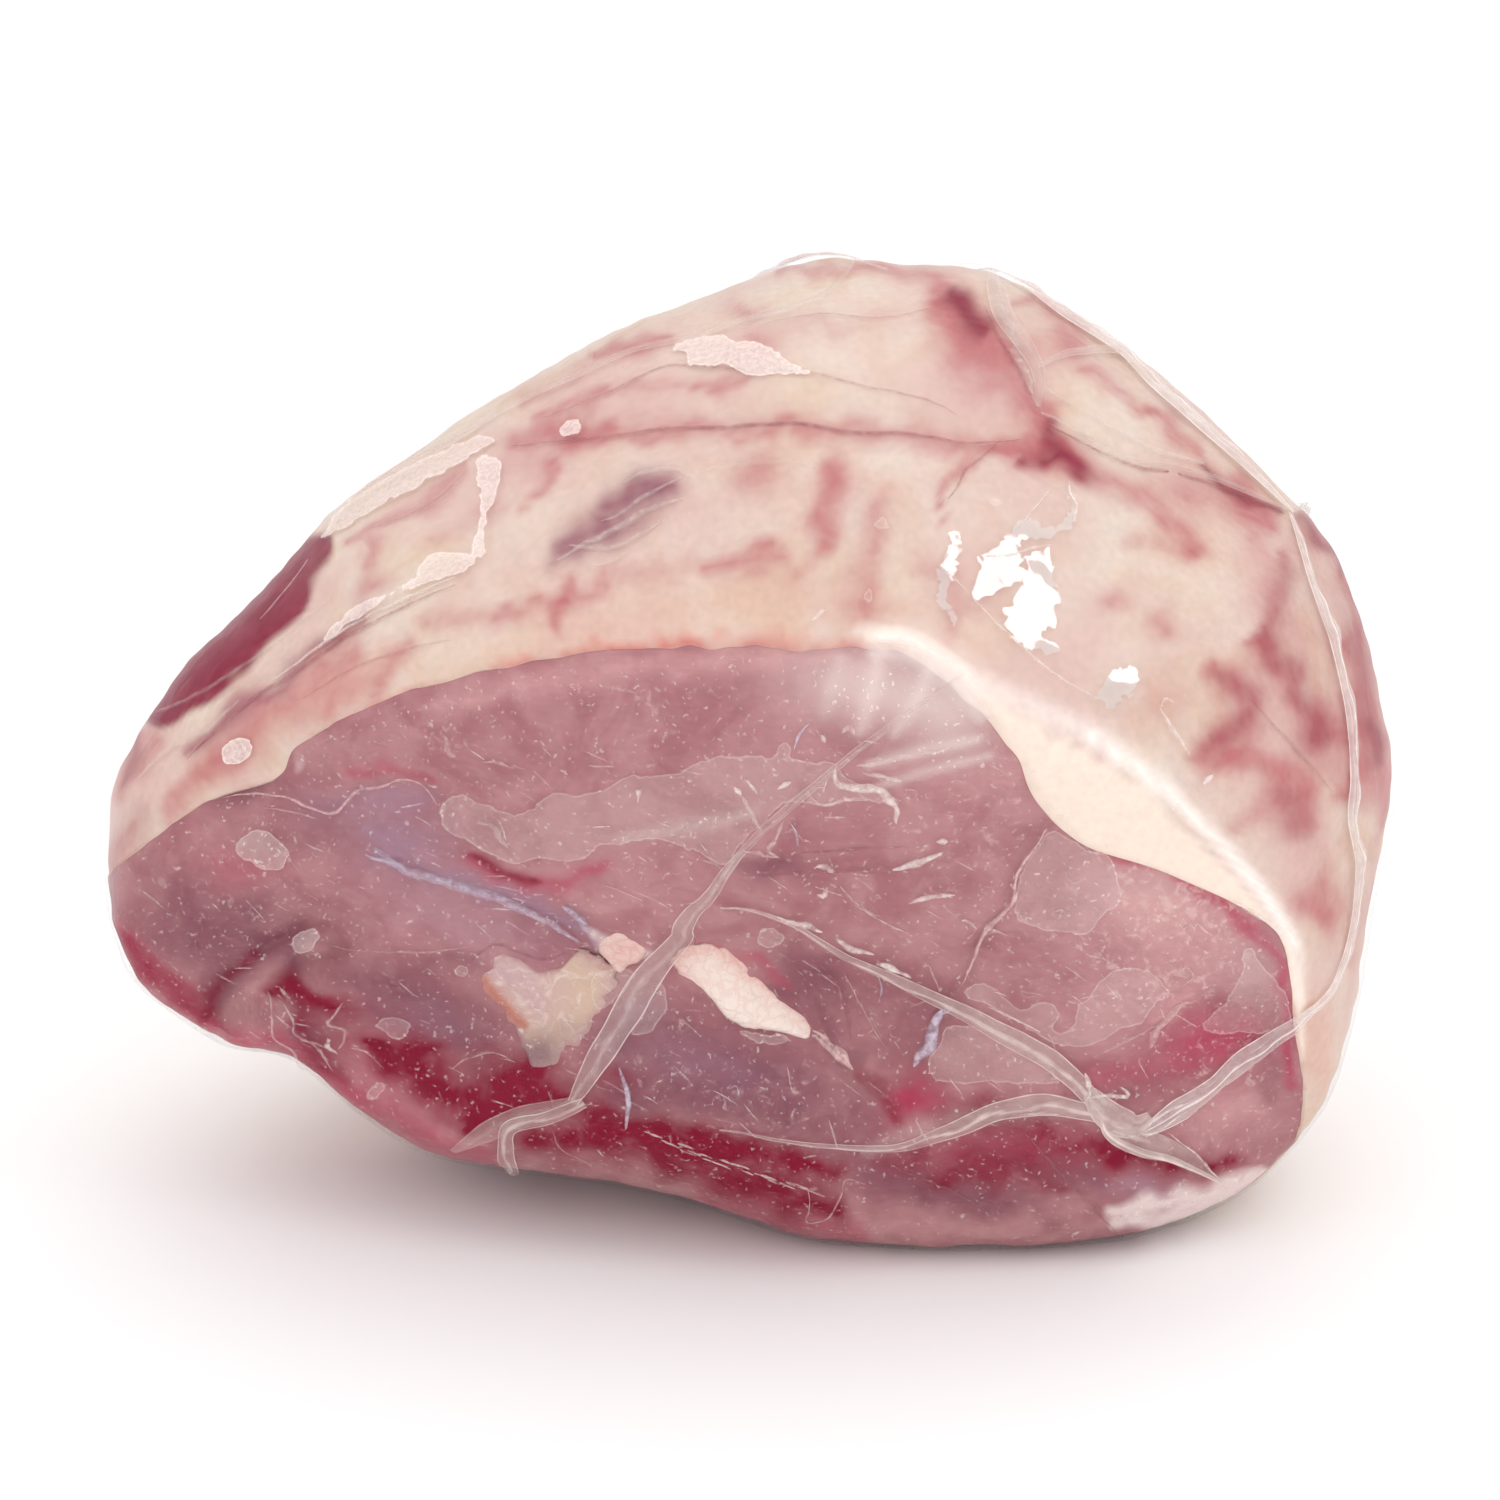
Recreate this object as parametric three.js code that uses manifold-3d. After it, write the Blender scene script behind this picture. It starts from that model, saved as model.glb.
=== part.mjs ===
// Bone-in leg of pork, vacuum packed in a clear shrink bag. Millimetres, +Z up.
//
// The leg is drawn in a frame of its own: u runs right, v runs up and w comes out towards the cut face.
// It then leans back by LEAN_BACK and is set down on the flat that its own weight presses into it.
// A place on it is a column, which is a ray of the outline, and a latitude: 0 is the middle of the cut face,
// 1 is the outline and 2 is the middle of the back.

import * as THREE from "three";
import { mergeVertices } from "three/addons/utils/BufferGeometryUtils.js";
import Module from "manifold-3d";

// Driving dimensions
const FACE_DEPTH = 88; // from the outline forward to the middle of the cut face
const BACK_DEPTH = 92; // from the outline back to the middle of the back
const LEAN_BACK = THREE.MathUtils.degToRad(24);
const FLOOR_CUT = 98.5; // how far below the middle of the outline the flat lies
const FLOOR_SOFTNESS = 4; // the flat's edge rounds off over this height
const OUTLINE_MIDDLE = [-4, -36];
const GAP = 0.35; // between pieces that touch
const RIB_LIFT = 0.8; // from the meat to the foot of a fold in the film
const RIB_STEP = 0.085; // along a fold, in latitudes

// Outline of the leg from the front, 280 wide, starting at the left end and going over the top
const OUTLINE = [
  [-139.8, -21.9], [-138.5, -7.1], [-131.7, 6.6], [-123, 18.8], [-111.9, 29], [-93.9, 49.1],
  [-85.2, 56.9], [-69.5, 67.3], [-33.8, 89.5], [-10.3, 99.1], [16, 107.2], [32.7, 106.1],
  [51.2, 104.8], [70.2, 95.6], [93.2, 79.1], [117.6, 55.4], [126.9, 44.5], [133.3, 28.2],
  [138.5, 7.1], [140, -7.5], [134.3, -39.3], [132, -54.5], [125, -76.5], [116.3, -87.8],
  [105.6, -96.9], [79.5, -106.5], [20.6, -107.6], [-21.9, -95.8], [-70.6, -87.4], [-84.7, -78.9],
  [-100, -66.7], [-114.1, -63.9], [-123.9, -57.8], [-133, -50.6], [-138.7, -36.7],
];

// Where the lean meets the fat on the cut face, from the left end over the top to the right foot
const LEAN_EDGE = [
  [-140.4, -28.4], [-132.6, -21.9], [-116.3, -11], [-100, -4.5], [-97.1, 0.3], [-83.4, 8.2],
  [-65.2, 14.9], [-29, 21.9], [-9.7, 22.7], [21.9, 21.6], [30.6, 20.6], [51.9, 2.3],
  [57.8, -3.6], [61.5, -12.3], [71.3, -20.1], [90.6, -26.9], [108.2, -35.6], [113.9, -41.7],
  [117.4, -61], [119.8, -79.5], [116.5, -89.3], [106.7, -98],
];
const UNDER_REACH = 0.33; // how far round the underside the lean shows, in latitudes past the outline

// The cut: a plane through the rim, with a bulge where the muscles push out. It never goes deeper than a
// share of the whole form, so that the meat still rounds under at the bottom.
const CUT = {
  height: 54.5, rise: 0.75, tilt: 0.115, bulge: 27, middle: [-8, -44], reach: [152, 84], blend: 8, least: 0.44,
};

// Fat over the lean: its thickness to the right, above, to the left and behind or below
const FAT = { right: 16, top: 9, left: 8, back: 13, feather: 15 };
const SHRINK_SPINE = { from: [-52, -34], to: [58, -22] };

// Seams between muscles and folds in the fat: half-width, depth and the points of the line. In order: upper,
// middle and right muscle seam, the heel's fold, over the top, the tuck at the top right, the left shoulder.
const CREASES = [
  { width: 8, depth: 3, points: [[-117, -9], [-98, -6.5], [-76, -5], [-58, -20], [-38, -22]] },
  { width: 8, depth: 3.5, points: [[-80, -22], [-58, -34], [-26, -47], [0, -47], [34, -73]] },
  { width: 7, depth: 1.8, points: [[63, -15], [58, -30], [41, -58], [34, -73]] },
  { width: 8, depth: 9, points: [[-118, -66], [-109, -50], [-90, -39]] },
  { width: 6, depth: 2.2, points: [[-54, 66], [-22, 69.5], [32, 68], [80, 61], [106, 54]] },
  { width: 7, depth: 3.5, points: [[45, 104], [52, 92], [62, 78], [65, 71]] },
  { width: 8, depth: 2.5, points: [[-128, -4], [-112, 12], [-70, 38], [-56, 44]] },
];

// Soft swellings and hollows: height, middle and reach either way
const SWELLS = [
  { height: 4, at: [0, 2], reach: [70, 17] }, // upper muscle
  { height: 4.5, at: [84, -48], reach: [26, 20] }, // right muscle
  { height: 4, at: [-2, -78], reach: [48, 17] }, // lower muscle
  { height: 5, at: [-115, -36], reach: [22, 22] }, // heel muscle
  { height: -9, at: [-68, -67], reach: [26, 14] }, // beside the bone
  { height: -3, at: [-26, 50], reach: [18, 11] }, // hollow in the fat
  { height: 4, at: [104, 20], reach: [24, 36] }, // right shoulder of the fat
];

// Folds of the film that stand off the meat: half-width at the foot, height, and points of the line,
// which are on the face unless they say BACK
const FACE = 1;
const BACK = -1;
const PLEATS = [
  { width: 3, height: 2.6, points: [[55, 102], [66, 94], [81, 84], [99, 62], [117.5, 52]] }, // top right
  { width: 1.6, height: 2, points: [[63, 74], [70, 84], [82, 83.5]] }, // top link
  { width: 1.6, height: 2, points: [[62, 74.5], [76, 68], [92, 60], [117.5, 52]] }, // crossing below it
  { // right cord
    width: 2.3,
    height: 2.6,
    points: [[117.5, 52], [129, 20], [132, 2], [129.5, -39], [125, -52], [107, -66.5], [86, -80]],
  },
  { // long diagonal
    width: 2.6,
    height: 2.8,
    points: [[46, 14.5], [22, -4.5], [-1, -25], [-18.5, -46], [-38, -75], [-50, -80.5], [-52.5, -84.5]],
  },
  { width: 2, height: 2.6, points: [[-10, -35], [13, -40.5], [68, -69], [86, -80]] }, // right diagonal
  { width: 1.6, height: 2.4, points: [[86, -80], [66, -78.5], [39, -85.5], [9, -85.5], [-6, -82.5]] },
  { width: 3, height: 4, points: [[84, -79], [90, -84.5], [97, -89], [104, -94]] }, // right ear
  { // back seam
    width: 2.4,
    height: 2.6,
    points: [[55, 102], [42, 98, BACK], [22, 70, BACK], [8, 30, BACK], [-2, -6, BACK], [4, -34, BACK]],
  },
  { // upper left seam
    width: 2.2,
    height: 2,
    points: [[55, 102], [30, 104], [-12, 92, BACK], [-52, 68, BACK], [-84, 40, BACK], [-104, 14, BACK]],
  },
  { // back right pleat
    width: 2,
    height: 2.4,
    points: [[117.5, 52], [112, 44, BACK], [84, 24, BACK], [50, 14, BACK], [6, 22, BACK]],
  },
];

// The bone: a joint end that shows in the cut, and its shaft running on through the meat
const BONE = {
  end: [-44, -57],
  into: new THREE.Vector3(0.55, 0.78, 0.3).normalize(),
  sides: 14,
  // depth in the meat and radius there
  radii: [[2, 11.5], [8, 14.5], [18, 15.5], [28, 13.5], [40, 10.5], [70, 9.5], [100, 10.5], [112, 9]],
};

// Fat between the muscles: one lump beside the bone and the larger one in the middle of the cut
const SEAM_FATS = [
  {
    name: "seam_fat_left",
    points: [[-29, -42], [-25.5, -44.5], [-22, -46.5]],
    widths: [2.5, 3.5, 2.5],
    sink: 0.6,
  },
  {
    name: "seam_fat_middle",
    points: [[-17, -48], [-9, -51], [2, -56], [12, -62], [19, -68]],
    widths: [4, 7.5, 8, 5.5, 3],
    sink: 2,
  },
];

// Mesh density
const COLUMNS = 88;
const EDGE_SMOOTHING = 6; // columns either side
const FACE_RINGS = 24;
const BACK_RINGS = 22;
const INNER_RINGS = 7;

const { clamp, lerp, smoothstep } = THREE.MathUtils;

function flatCurve(points, closed) {
  const places = points.map(([u, v]) => new THREE.Vector3(u, v, 0));
  return new THREE.CatmullRomCurve3(places, closed, "centripetal");
}

// Smaller or larger of two heights, with the corner between them rounded
function smoothMin(a, b, blend) {
  const h = clamp(0.5 + (b - a) / (2 * blend), 0, 1);
  return b + (a - b) * h - blend * h * (1 - h);
}

const smoothMax = (a, b, blend) => -smoothMin(-a, -b, blend);

// Radius of a curve seen from OUTLINE_MIDDLE, as a function of the angle
function radiusByAngle(points, closed) {
  const [cu, cv] = OUTLINE_MIDDLE;
  const seen = flatCurve(points, closed).getPoints(720).map((p) => ({
    angle: Math.atan2(p.y - cv, p.x - cu),
    radius: Math.hypot(p.x - cu, p.y - cv),
  }));
  return (angle) => {
    for (let i = 1; i < seen.length; i++) {
      const span = wrapped(seen[i].angle - seen[i - 1].angle);
      const along = wrapped(angle - seen[i - 1].angle);
      if (span !== 0 && along / span >= 0 && along / span <= 1 && Math.abs(along) < 1) {
        return lerp(seen[i - 1].radius, seen[i].radius, along / span);
      }
    }
    return null;
  };
}

function wrapped(angle) {
  return Math.atan2(Math.sin(angle), Math.cos(angle));
}

const outlineRadius = radiusByAngle(OUTLINE, true);
const edgeRadius = radiusByAngle(LEAN_EDGE, false);

function distanceToLine(u, v, points) {
  let best = Infinity;
  for (let i = 1; i < points.length; i++) {
    const [au, av] = points[i - 1];
    const [bu, bv] = points[i];
    const length2 = (bu - au) ** 2 + (bv - av) ** 2;
    const t = clamp(((u - au) * (bu - au) + (v - av) * (bv - av)) / length2, 0, 1);
    best = Math.min(best, Math.hypot(u - au - t * (bu - au), v - av - t * (bv - av)));
  }
  return best;
}

function relief(u, v) {
  let height = 0;
  for (const { width, depth, points } of CREASES) {
    height -= depth * Math.exp(-((distanceToLine(u, v, points) / width) ** 2));
  }
  for (const { at, reach, height: swell } of SWELLS) {
    height += swell * Math.exp(-(((u - at[0]) / reach[0]) ** 2) - ((v - at[1]) / reach[1]) ** 2);
  }
  return height;
}

// How far out of the outline a place lies: 0 at OUTLINE_MIDDLE and 1 on the outline
function shareOut(u, v) {
  const [cu, cv] = OUTLINE_MIDDLE;
  return Math.hypot(u - cu, v - cv) / outlineRadius(Math.atan2(v - cv, u - cu));
}

function faceDepth(u, v) {
  const share = Math.min(shareOut(u, v), 1);
  const dome = FACE_DEPTH * Math.sqrt(Math.max(0, 1 - share ** 2.4));
  const [du, dv] = [(u - CUT.middle[0]) / CUT.reach[0], (v - CUT.middle[1]) / CUT.reach[1]];
  const cut = CUT.height + CUT.rise * v + CUT.tilt * u + CUT.bulge * (1 - du ** 2 - dv ** 2);
  const blend = CUT.blend * Math.min(1, 0.01 + dome / 20);
  const depth = smoothMax(smoothMin(dome, cut, blend), CUT.least * dome, blend);
  return depth + relief(u, v) * (1 - smoothstep(share, 0.9, 1));
}

function backDepth(u, v) {
  const share = Math.min(shareOut(u, v), 1);
  const dome = BACK_DEPTH * Math.pow(Math.max(0, 1 - share ** 2.6), 1 / 2.2);
  const waves = 2.2 * Math.sin(u / 31 + 1) * Math.cos(v / 26) + 1.6 * Math.sin((u + v) / 19);
  return -dome - waves * (1 - share ** 3);
}

// From the leg's own frame to the table, with the flat pressed into the underside
function setDown(u, v, w) {
  const y = v * Math.sin(LEAN_BACK) - w * Math.cos(LEAN_BACK);
  const z = v * Math.cos(LEAN_BACK) + w * Math.sin(LEAN_BACK) + FLOOR_CUT;
  const k = FLOOR_SOFTNESS;
  const pressed = z > k ? z : z < -k ? 0 : (z + k) ** 2 / (4 * k);
  return new THREE.Vector3(u, y, pressed);
}

function skinPoint(angle, latitude) {
  const [cu, cv] = OUTLINE_MIDDLE;
  const share = Math.sin((latitude * Math.PI) / 2);
  const radius = outlineRadius(angle) * share;
  const u = cu + radius * Math.cos(angle);
  const v = cv + radius * Math.sin(angle);
  return setDown(u, v, latitude <= 1 ? faceDepth(u, v) : backDepth(u, v));
}

// The columns, at even steps along the outline. Each has the latitude where its lean ends, and that
// latitude smoothed along the edge, which the rings away from the edge follow.
function makeColumns() {
  const [cu, cv] = OUTLINE_MIDDLE;
  const angles = flatCurve(OUTLINE, true).getSpacedPoints(COLUMNS).slice(0, COLUMNS)
    .map((p) => Math.atan2(p.y - cv, p.x - cu));
  const [left, right] = [LEAN_EDGE[0], LEAN_EDGE.at(-1)].map(([u, v]) => Math.atan2(v - cv, u - cu));
  const turn = (from, to) => (from - to + 4 * Math.PI) % (2 * Math.PI);
  const edges = angles.map((angle) => {
    const radius = edgeRadius(angle);
    if (radius !== null) return (Math.asin(Math.min(radius / outlineRadius(angle), 1)) * 2) / Math.PI;
    return 1 + UNDER_REACH * Math.sin((Math.PI * turn(right, angle)) / turn(right, left)) ** 0.8;
  });
  return angles.map((angle, c) => {
    let smooth = 0;
    for (let k = -EDGE_SMOOTHING; k <= EDGE_SMOOTHING; k++) {
      smooth += edges[(c + k + COLUMNS) % COLUMNS] / (2 * EDGE_SMOOTHING + 1);
    }
    return { angle, edge: edges[c], smooth };
  });
}

const columns = makeColumns();

function fatThickness(angle) {
  const right = Math.max(0, Math.cos(angle + 0.45)) ** 2;
  const left = Math.max(0, -Math.cos(angle)) ** 2;
  return FAT.top + (FAT.right - FAT.top) * right + (FAT.left - FAT.top) * left;
}

// The surface between fat and lean: the skin drawn in towards a spine inside the leg
function innerPoint(column, latitude, extra) {
  const skin = skinPoint(column.angle, latitude);
  const { from, to } = SHRINK_SPINE;
  const t = clamp((skin.x - from[0]) / (to[0] - from[0]), 0, 1);
  const spine = setDown(from[0] + t * (to[0] - from[0]), from[1] + t * (to[1] - from[1]), -4);
  const along = skinPoint(column.angle, column.edge).distanceTo(skin);
  const full = lerp(fatThickness(column.angle), FAT.back, smoothstep(latitude, 1, 1.4));
  const thickness = full * smoothstep(along, -FAT.feather * 0.25, FAT.feather) + extra;
  const towards = spine.clone().sub(skin);
  return skin.add(towards.normalize().multiplyScalar(thickness));
}

// A closed mesh from rings with the same number of points each, and a point at either end. The first few
// rings can have their squares split the other way, to match the piece they lie against.
function closedMesh(first, rings, last, otherWay = 0) {
  const sides = rings[0].length;
  const positions = [first, ...rings.flat(), last].flatMap((point) => point.toArray());
  const index = [];
  const at = (ring, k) => 1 + ring * sides + (k % sides);
  const end = 1 + rings.length * sides;
  for (let k = 0; k < sides; k++) {
    index.push(0, at(0, k + 1), at(0, k));
    for (let r = 1; r < rings.length; r++) {
      const [a, b, c, d] = [at(r - 1, k), at(r - 1, k + 1), at(r, k + 1), at(r, k)];
      if (r < otherWay) index.push(a, b, d, b, c, d);
      else index.push(a, b, c, a, c, d);
    }
    index.push(end, at(rings.length - 1, k), at(rings.length - 1, k + 1));
  }
  const geometry = new THREE.BufferGeometry();
  geometry.setAttribute("position", new THREE.Float32BufferAttribute(positions, 3));
  geometry.setIndex(index);
  return geometry;
}

const fatStart = (column) => column.edge + GAP / 45; // leaves about the gap between lean and fat
const innerLatitude = (column, i) => lerp(fatStart(column), 2, (i / INNER_RINGS) ** 1.3);

function faceLatitude(column, i) {
  const share = (i / FACE_RINGS) ** 0.9;
  return share * lerp(column.smooth, column.edge, share ** 4);
}

function backLatitude(column, i) {
  const share = i / BACK_RINGS;
  return lerp(lerp(fatStart(column), column.smooth, Math.min(1, 2 * share)), 2, share);
}

const count = (number) => Array.from({ length: number }, (_, i) => i);
const faceRings = () =>
  count(FACE_RINGS).map((i) => columns.map((c) => skinPoint(c.angle, faceLatitude(c, i + 1))));
const backRings = () =>
  count(BACK_RINGS).map((i) => columns.map((c) => skinPoint(c.angle, backLatitude(c, i))));
const innerRings = (extra) =>
  count(INNER_RINGS).map((i) => columns.map((c) => innerPoint(c, innerLatitude(c, i), extra)));

function leanGeometry() {
  return closedMesh(skinPoint(0, 0), [...faceRings(), ...innerRings(GAP)], innerPoint(columns[0], 2, GAP));
}

function fatGeometry() {
  const rings = [...innerRings(0).reverse(), ...backRings()];
  return closedMesh(innerPoint(columns[0], 2, 0), rings, skinPoint(0, 2), INNER_RINGS);
}

// The whole skin, lifted off the meat by a clearance, to cut the film's folds to
function skinGeometry(clearance) {
  const geometry = closedMesh(skinPoint(0, 0), [...faceRings(), ...backRings()], skinPoint(0, 2));
  geometry.computeVertexNormals();
  const { position, normal } = geometry.attributes;
  for (let i = 0; i < position.count; i++) {
    const out = new THREE.Vector3().fromBufferAttribute(normal, i).multiplyScalar(clearance);
    const { x, y, z } = new THREE.Vector3().fromBufferAttribute(position, i).add(out);
    position.setXYZ(i, x, y, z);
  }
  return geometry;
}

// The skin laid out flat: the angle and latitude of a place are its direction and distance from the middle
function onMap(u, v, side = FACE) {
  const [cu, cv] = OUTLINE_MIDDLE;
  const angle = Math.atan2(v - cv, u - cu);
  const latitude = (Math.asin(Math.min(shareOut(u, v), 1)) * 2) / Math.PI;
  const reach = side === FACE ? latitude : 2 - latitude;
  return new THREE.Vector3(reach * Math.cos(angle), reach * Math.sin(angle), 0);
}

// The place on the skin under a place on the map, and the way out of the skin there
function onSkin({ x, y }) {
  const place = (dx, dy) => skinPoint(Math.atan2(y + dy, x + dx), Math.hypot(x + dx, y + dy));
  const step = 0.015;
  const across = place(step, 0).sub(place(-step, 0));
  const up = place(0, step).sub(place(0, -step));
  return { point: place(0, 0), normal: across.cross(up).normalize() };
}

// A closed rib: a low ridge with a narrow crest that follows the skin a little above it
function ribGeometry({ width, height, points }) {
  const curve = new THREE.CatmullRomCurve3(points.map((point) => onMap(...point)), false, "centripetal");
  const steps = Math.max(3, Math.round(curve.getLength() / RIB_STEP));
  const sections = [];
  for (let i = 0; i <= steps; i++) sections.push(onSkin(curve.getPointAt(i / steps)));
  const positions = [];
  sections.forEach(({ point, normal }, i) => {
    const ahead = sections[Math.min(i + 1, steps)].point.clone().sub(sections[Math.max(i - 1, 0)].point);
    const side = ahead.cross(normal).normalize();
    const taper = 0.55 + 0.45 * Math.sin(Math.PI * clamp(i / steps, 0.04, 0.96)) ** 0.5;
    const corners = [[-width, RIB_LIFT], [width, RIB_LIFT], [width * 0.35, height], [-width * 0.35, height]];
    for (const [out, up] of corners) {
      const corner = point.clone().addScaledVector(side, out * taper).addScaledVector(normal, up);
      positions.push(...corner.toArray());
    }
  });
  const index = [0, 1, 2, 0, 2, 3];
  for (let i = 0; i < steps; i++) {
    for (let k = 0; k < 4; k++) {
      const [a, b] = [i * 4 + k, i * 4 + ((k + 1) % 4)];
      index.push(a, b + 4, b, a, a + 4, b + 4);
    }
  }
  const last = steps * 4;
  index.push(last, last + 2, last + 1, last, last + 3, last + 2);
  const geometry = new THREE.BufferGeometry();
  geometry.setAttribute("position", new THREE.Float32BufferAttribute(positions, 3));
  geometry.setIndex(index);
  return geometry;
}

// A knobbly rod: each station is a place with two half-widths, and a cap rounds off either end
function rodGeometry(stations, sides, cap, extra) {
  const [start, end] = [stations[0].place, stations.at(-1).place];
  const bore = end.clone().sub(start).normalize();
  const across = new THREE.Vector3(0, 0, 1).cross(bore).normalize();
  const up = bore.clone().cross(across);
  const rings = stations.map(({ place, wide, tall }, i) => count(sides).map((k) => {
    const turn = (k / sides) * 2 * Math.PI;
    const knob = 1 + 0.06 * Math.sin(3 * turn + i);
    return place.clone()
      .addScaledVector(across, Math.cos(turn) * (wide * knob + extra))
      .addScaledVector(up, Math.sin(turn) * (tall * knob + extra));
  }));
  const tip = (place, way) => place.clone().addScaledVector(bore, way * (cap + extra));
  return closedMesh(tip(start, -1), rings, tip(end, 1));
}

function boneGeometry(extra) {
  const { point } = onSkin(onMap(...BONE.end));
  const stations = BONE.radii.map(([depth, radius]) => ({
    place: point.clone().addScaledVector(BONE.into, depth),
    wide: radius * 1.08,
    tall: radius * 0.94,
  }));
  return rodGeometry(stations, BONE.sides, 3.5, extra);
}

function seamFatGeometry({ points, widths, sink }, extra) {
  const stations = points.map(([u, v], i) => {
    const { point, normal } = onSkin(onMap(u, v));
    return { place: point.addScaledVector(normal, -sink), wide: widths[i], tall: widths[i] * 0.62 };
  });
  return rodGeometry(stations, 12, widths[0] * 0.4, extra);
}

const wasm = await Module();
wasm.setup();

function solidFrom(geometry) {
  const bare = geometry.clone();
  bare.deleteAttribute("normal");
  const merged = mergeVertices(bare, 1e-4);
  return new wasm.Manifold(new wasm.Mesh({
    numProp: 3,
    vertProperties: merged.attributes.position.array,
    triVerts: new Uint32Array(merged.index.array),
  }));
}

function geometryFrom(solid) {
  const { numProp, numVert, vertProperties, triVerts } = solid.getMesh();
  const positions = new Float32Array(numVert * 3);
  for (let i = 0; i < numVert; i++) {
    positions.set(vertProperties.subarray(i * numProp, i * numProp + 3), i * 3);
  }
  const geometry = new THREE.BufferGeometry();
  geometry.setAttribute("position", new THREE.BufferAttribute(positions, 3));
  geometry.setIndex(new THREE.BufferAttribute(new Uint32Array(triVerts), 1));
  return geometry;
}

// Largest closed piece of a solid, without the scraps that a cut leaves
function mainPiece(solid) {
  return solid.decompose().reduce((best, piece) => (piece.volume() > best.volume() ? piece : best));
}

function leanSolid() {
  let lean = solidFrom(leanGeometry()).subtract(solidFrom(boneGeometry(GAP)));
  for (const lump of SEAM_FATS) lean = lean.subtract(solidFrom(seamFatGeometry(lump, GAP)));
  return mainPiece(lean);
}

function filmSolid() {
  const ribs = PLEATS.map((pleat) => solidFrom(ribGeometry(pleat)));
  const inside = [solidFrom(skinGeometry(GAP)), solidFrom(boneGeometry(GAP))];
  for (const lump of SEAM_FATS) inside.push(solidFrom(seamFatGeometry(lump, GAP)));
  const joined = ribs.reduce((all, rib) => all.add(rib));
  return mainPiece(inside.reduce((film, solid) => film.subtract(solid), joined));
}

const FINISHES = {
  lean: new THREE.MeshStandardMaterial({ color: 0xb07078, roughness: 0.35 }),
  fat: new THREE.MeshStandardMaterial({ color: 0xe6c8b8, roughness: 0.35 }),
  seamFat: new THREE.MeshStandardMaterial({ color: 0xf0d8c8, roughness: 0.4 }),
  bone: new THREE.MeshStandardMaterial({ color: 0xc8b0a4, roughness: 0.4 }),
  film: new THREE.MeshStandardMaterial({ color: 0xe8dcd8, roughness: 0.1, transparent: true, opacity: 0.35 }),
};

function piece(name, geometry, finish) {
  const mesh = new THREE.Mesh(geometry, finish);
  mesh.name = name;
  return mesh;
}

const leg = new THREE.Group();
leg.add(piece("lean_meat", geometryFrom(leanSolid()), FINISHES.lean));
leg.add(piece("fat_cap", fatGeometry(), FINISHES.fat));
leg.add(piece("leg_bone", boneGeometry(0), FINISHES.bone));
for (const lump of SEAM_FATS) leg.add(piece(lump.name, seamFatGeometry(lump, 0), FINISHES.seamFat));
leg.add(piece("shrink_film", geometryFrom(filmSolid()), FINISHES.film));

// The origin is under the middle of the pack, on the table
const box = new THREE.Box3().setFromObject(leg);
leg.position.set(-(box.min.x + box.max.x) / 2, -(box.min.y + box.max.y) / 2, 0);

export default leg;
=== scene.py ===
"""Bone-in leg of pork, vacuum packed in clear shrink film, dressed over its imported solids.

Lengths are millimetres until a mesh is made. The leg is drawn in a frame of its own: u runs right, v runs
up and w comes out towards the cut face. A place on the skin is an angle round the middle of the outline and
a latitude: 0 is the middle of the cut face, 1 is the outline and 2 is the middle of the back.
"""

from __future__ import annotations

import logging
import math
from dataclasses import dataclass
from enum import Enum
from typing import Sequence

import bpy
import numpy as np
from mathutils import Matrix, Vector


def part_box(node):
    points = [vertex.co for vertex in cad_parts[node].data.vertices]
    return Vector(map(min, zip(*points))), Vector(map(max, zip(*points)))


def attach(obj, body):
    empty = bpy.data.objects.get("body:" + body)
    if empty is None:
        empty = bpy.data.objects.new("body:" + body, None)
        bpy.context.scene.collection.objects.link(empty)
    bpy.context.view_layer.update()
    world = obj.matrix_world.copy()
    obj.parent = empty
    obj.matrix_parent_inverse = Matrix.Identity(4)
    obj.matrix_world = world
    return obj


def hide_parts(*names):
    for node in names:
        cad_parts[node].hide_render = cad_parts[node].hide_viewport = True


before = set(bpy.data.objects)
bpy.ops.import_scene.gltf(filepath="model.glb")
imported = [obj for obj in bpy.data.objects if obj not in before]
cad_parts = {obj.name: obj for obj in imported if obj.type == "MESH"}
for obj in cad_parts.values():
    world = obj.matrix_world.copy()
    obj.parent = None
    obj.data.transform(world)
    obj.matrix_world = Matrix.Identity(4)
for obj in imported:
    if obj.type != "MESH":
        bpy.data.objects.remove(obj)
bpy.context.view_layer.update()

log = logging.getLogger("pork_leg")

MM = 0.001
CAMERA_DISTANCE = 2500.0
LEAN_BACK = math.radians(24.0)
PHOTO_WIDTH = 1500 * 280 / 1287  # the leg is 280 mm and 1287 pixels wide
SENSOR_WIDTH = 36.0
SEED = 7

Points = Sequence[tuple[float, ...]]


class Side(Enum):
    """Which half of the skin a point is on."""

    FACE = 1
    BACK = -1


def smoothstep(x: np.ndarray, low: float, high: float) -> np.ndarray:
    """Goes from 0 at low to 1 at high, with no slope at either end.

    Args:
        x: Values to map.
        low: Where the step starts.
        high: Where the step ends.

    Returns:
        The eased step, the same shape as x.
    """
    t = np.clip((x - low) / (high - low), 0.0, 1.0)
    return t * t * (3.0 - 2.0 * t)


def lerp(a: np.ndarray, b: np.ndarray, t: np.ndarray) -> np.ndarray:
    """Goes from a to b as t goes from 0 to 1."""
    return a + (b - a) * t


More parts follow.
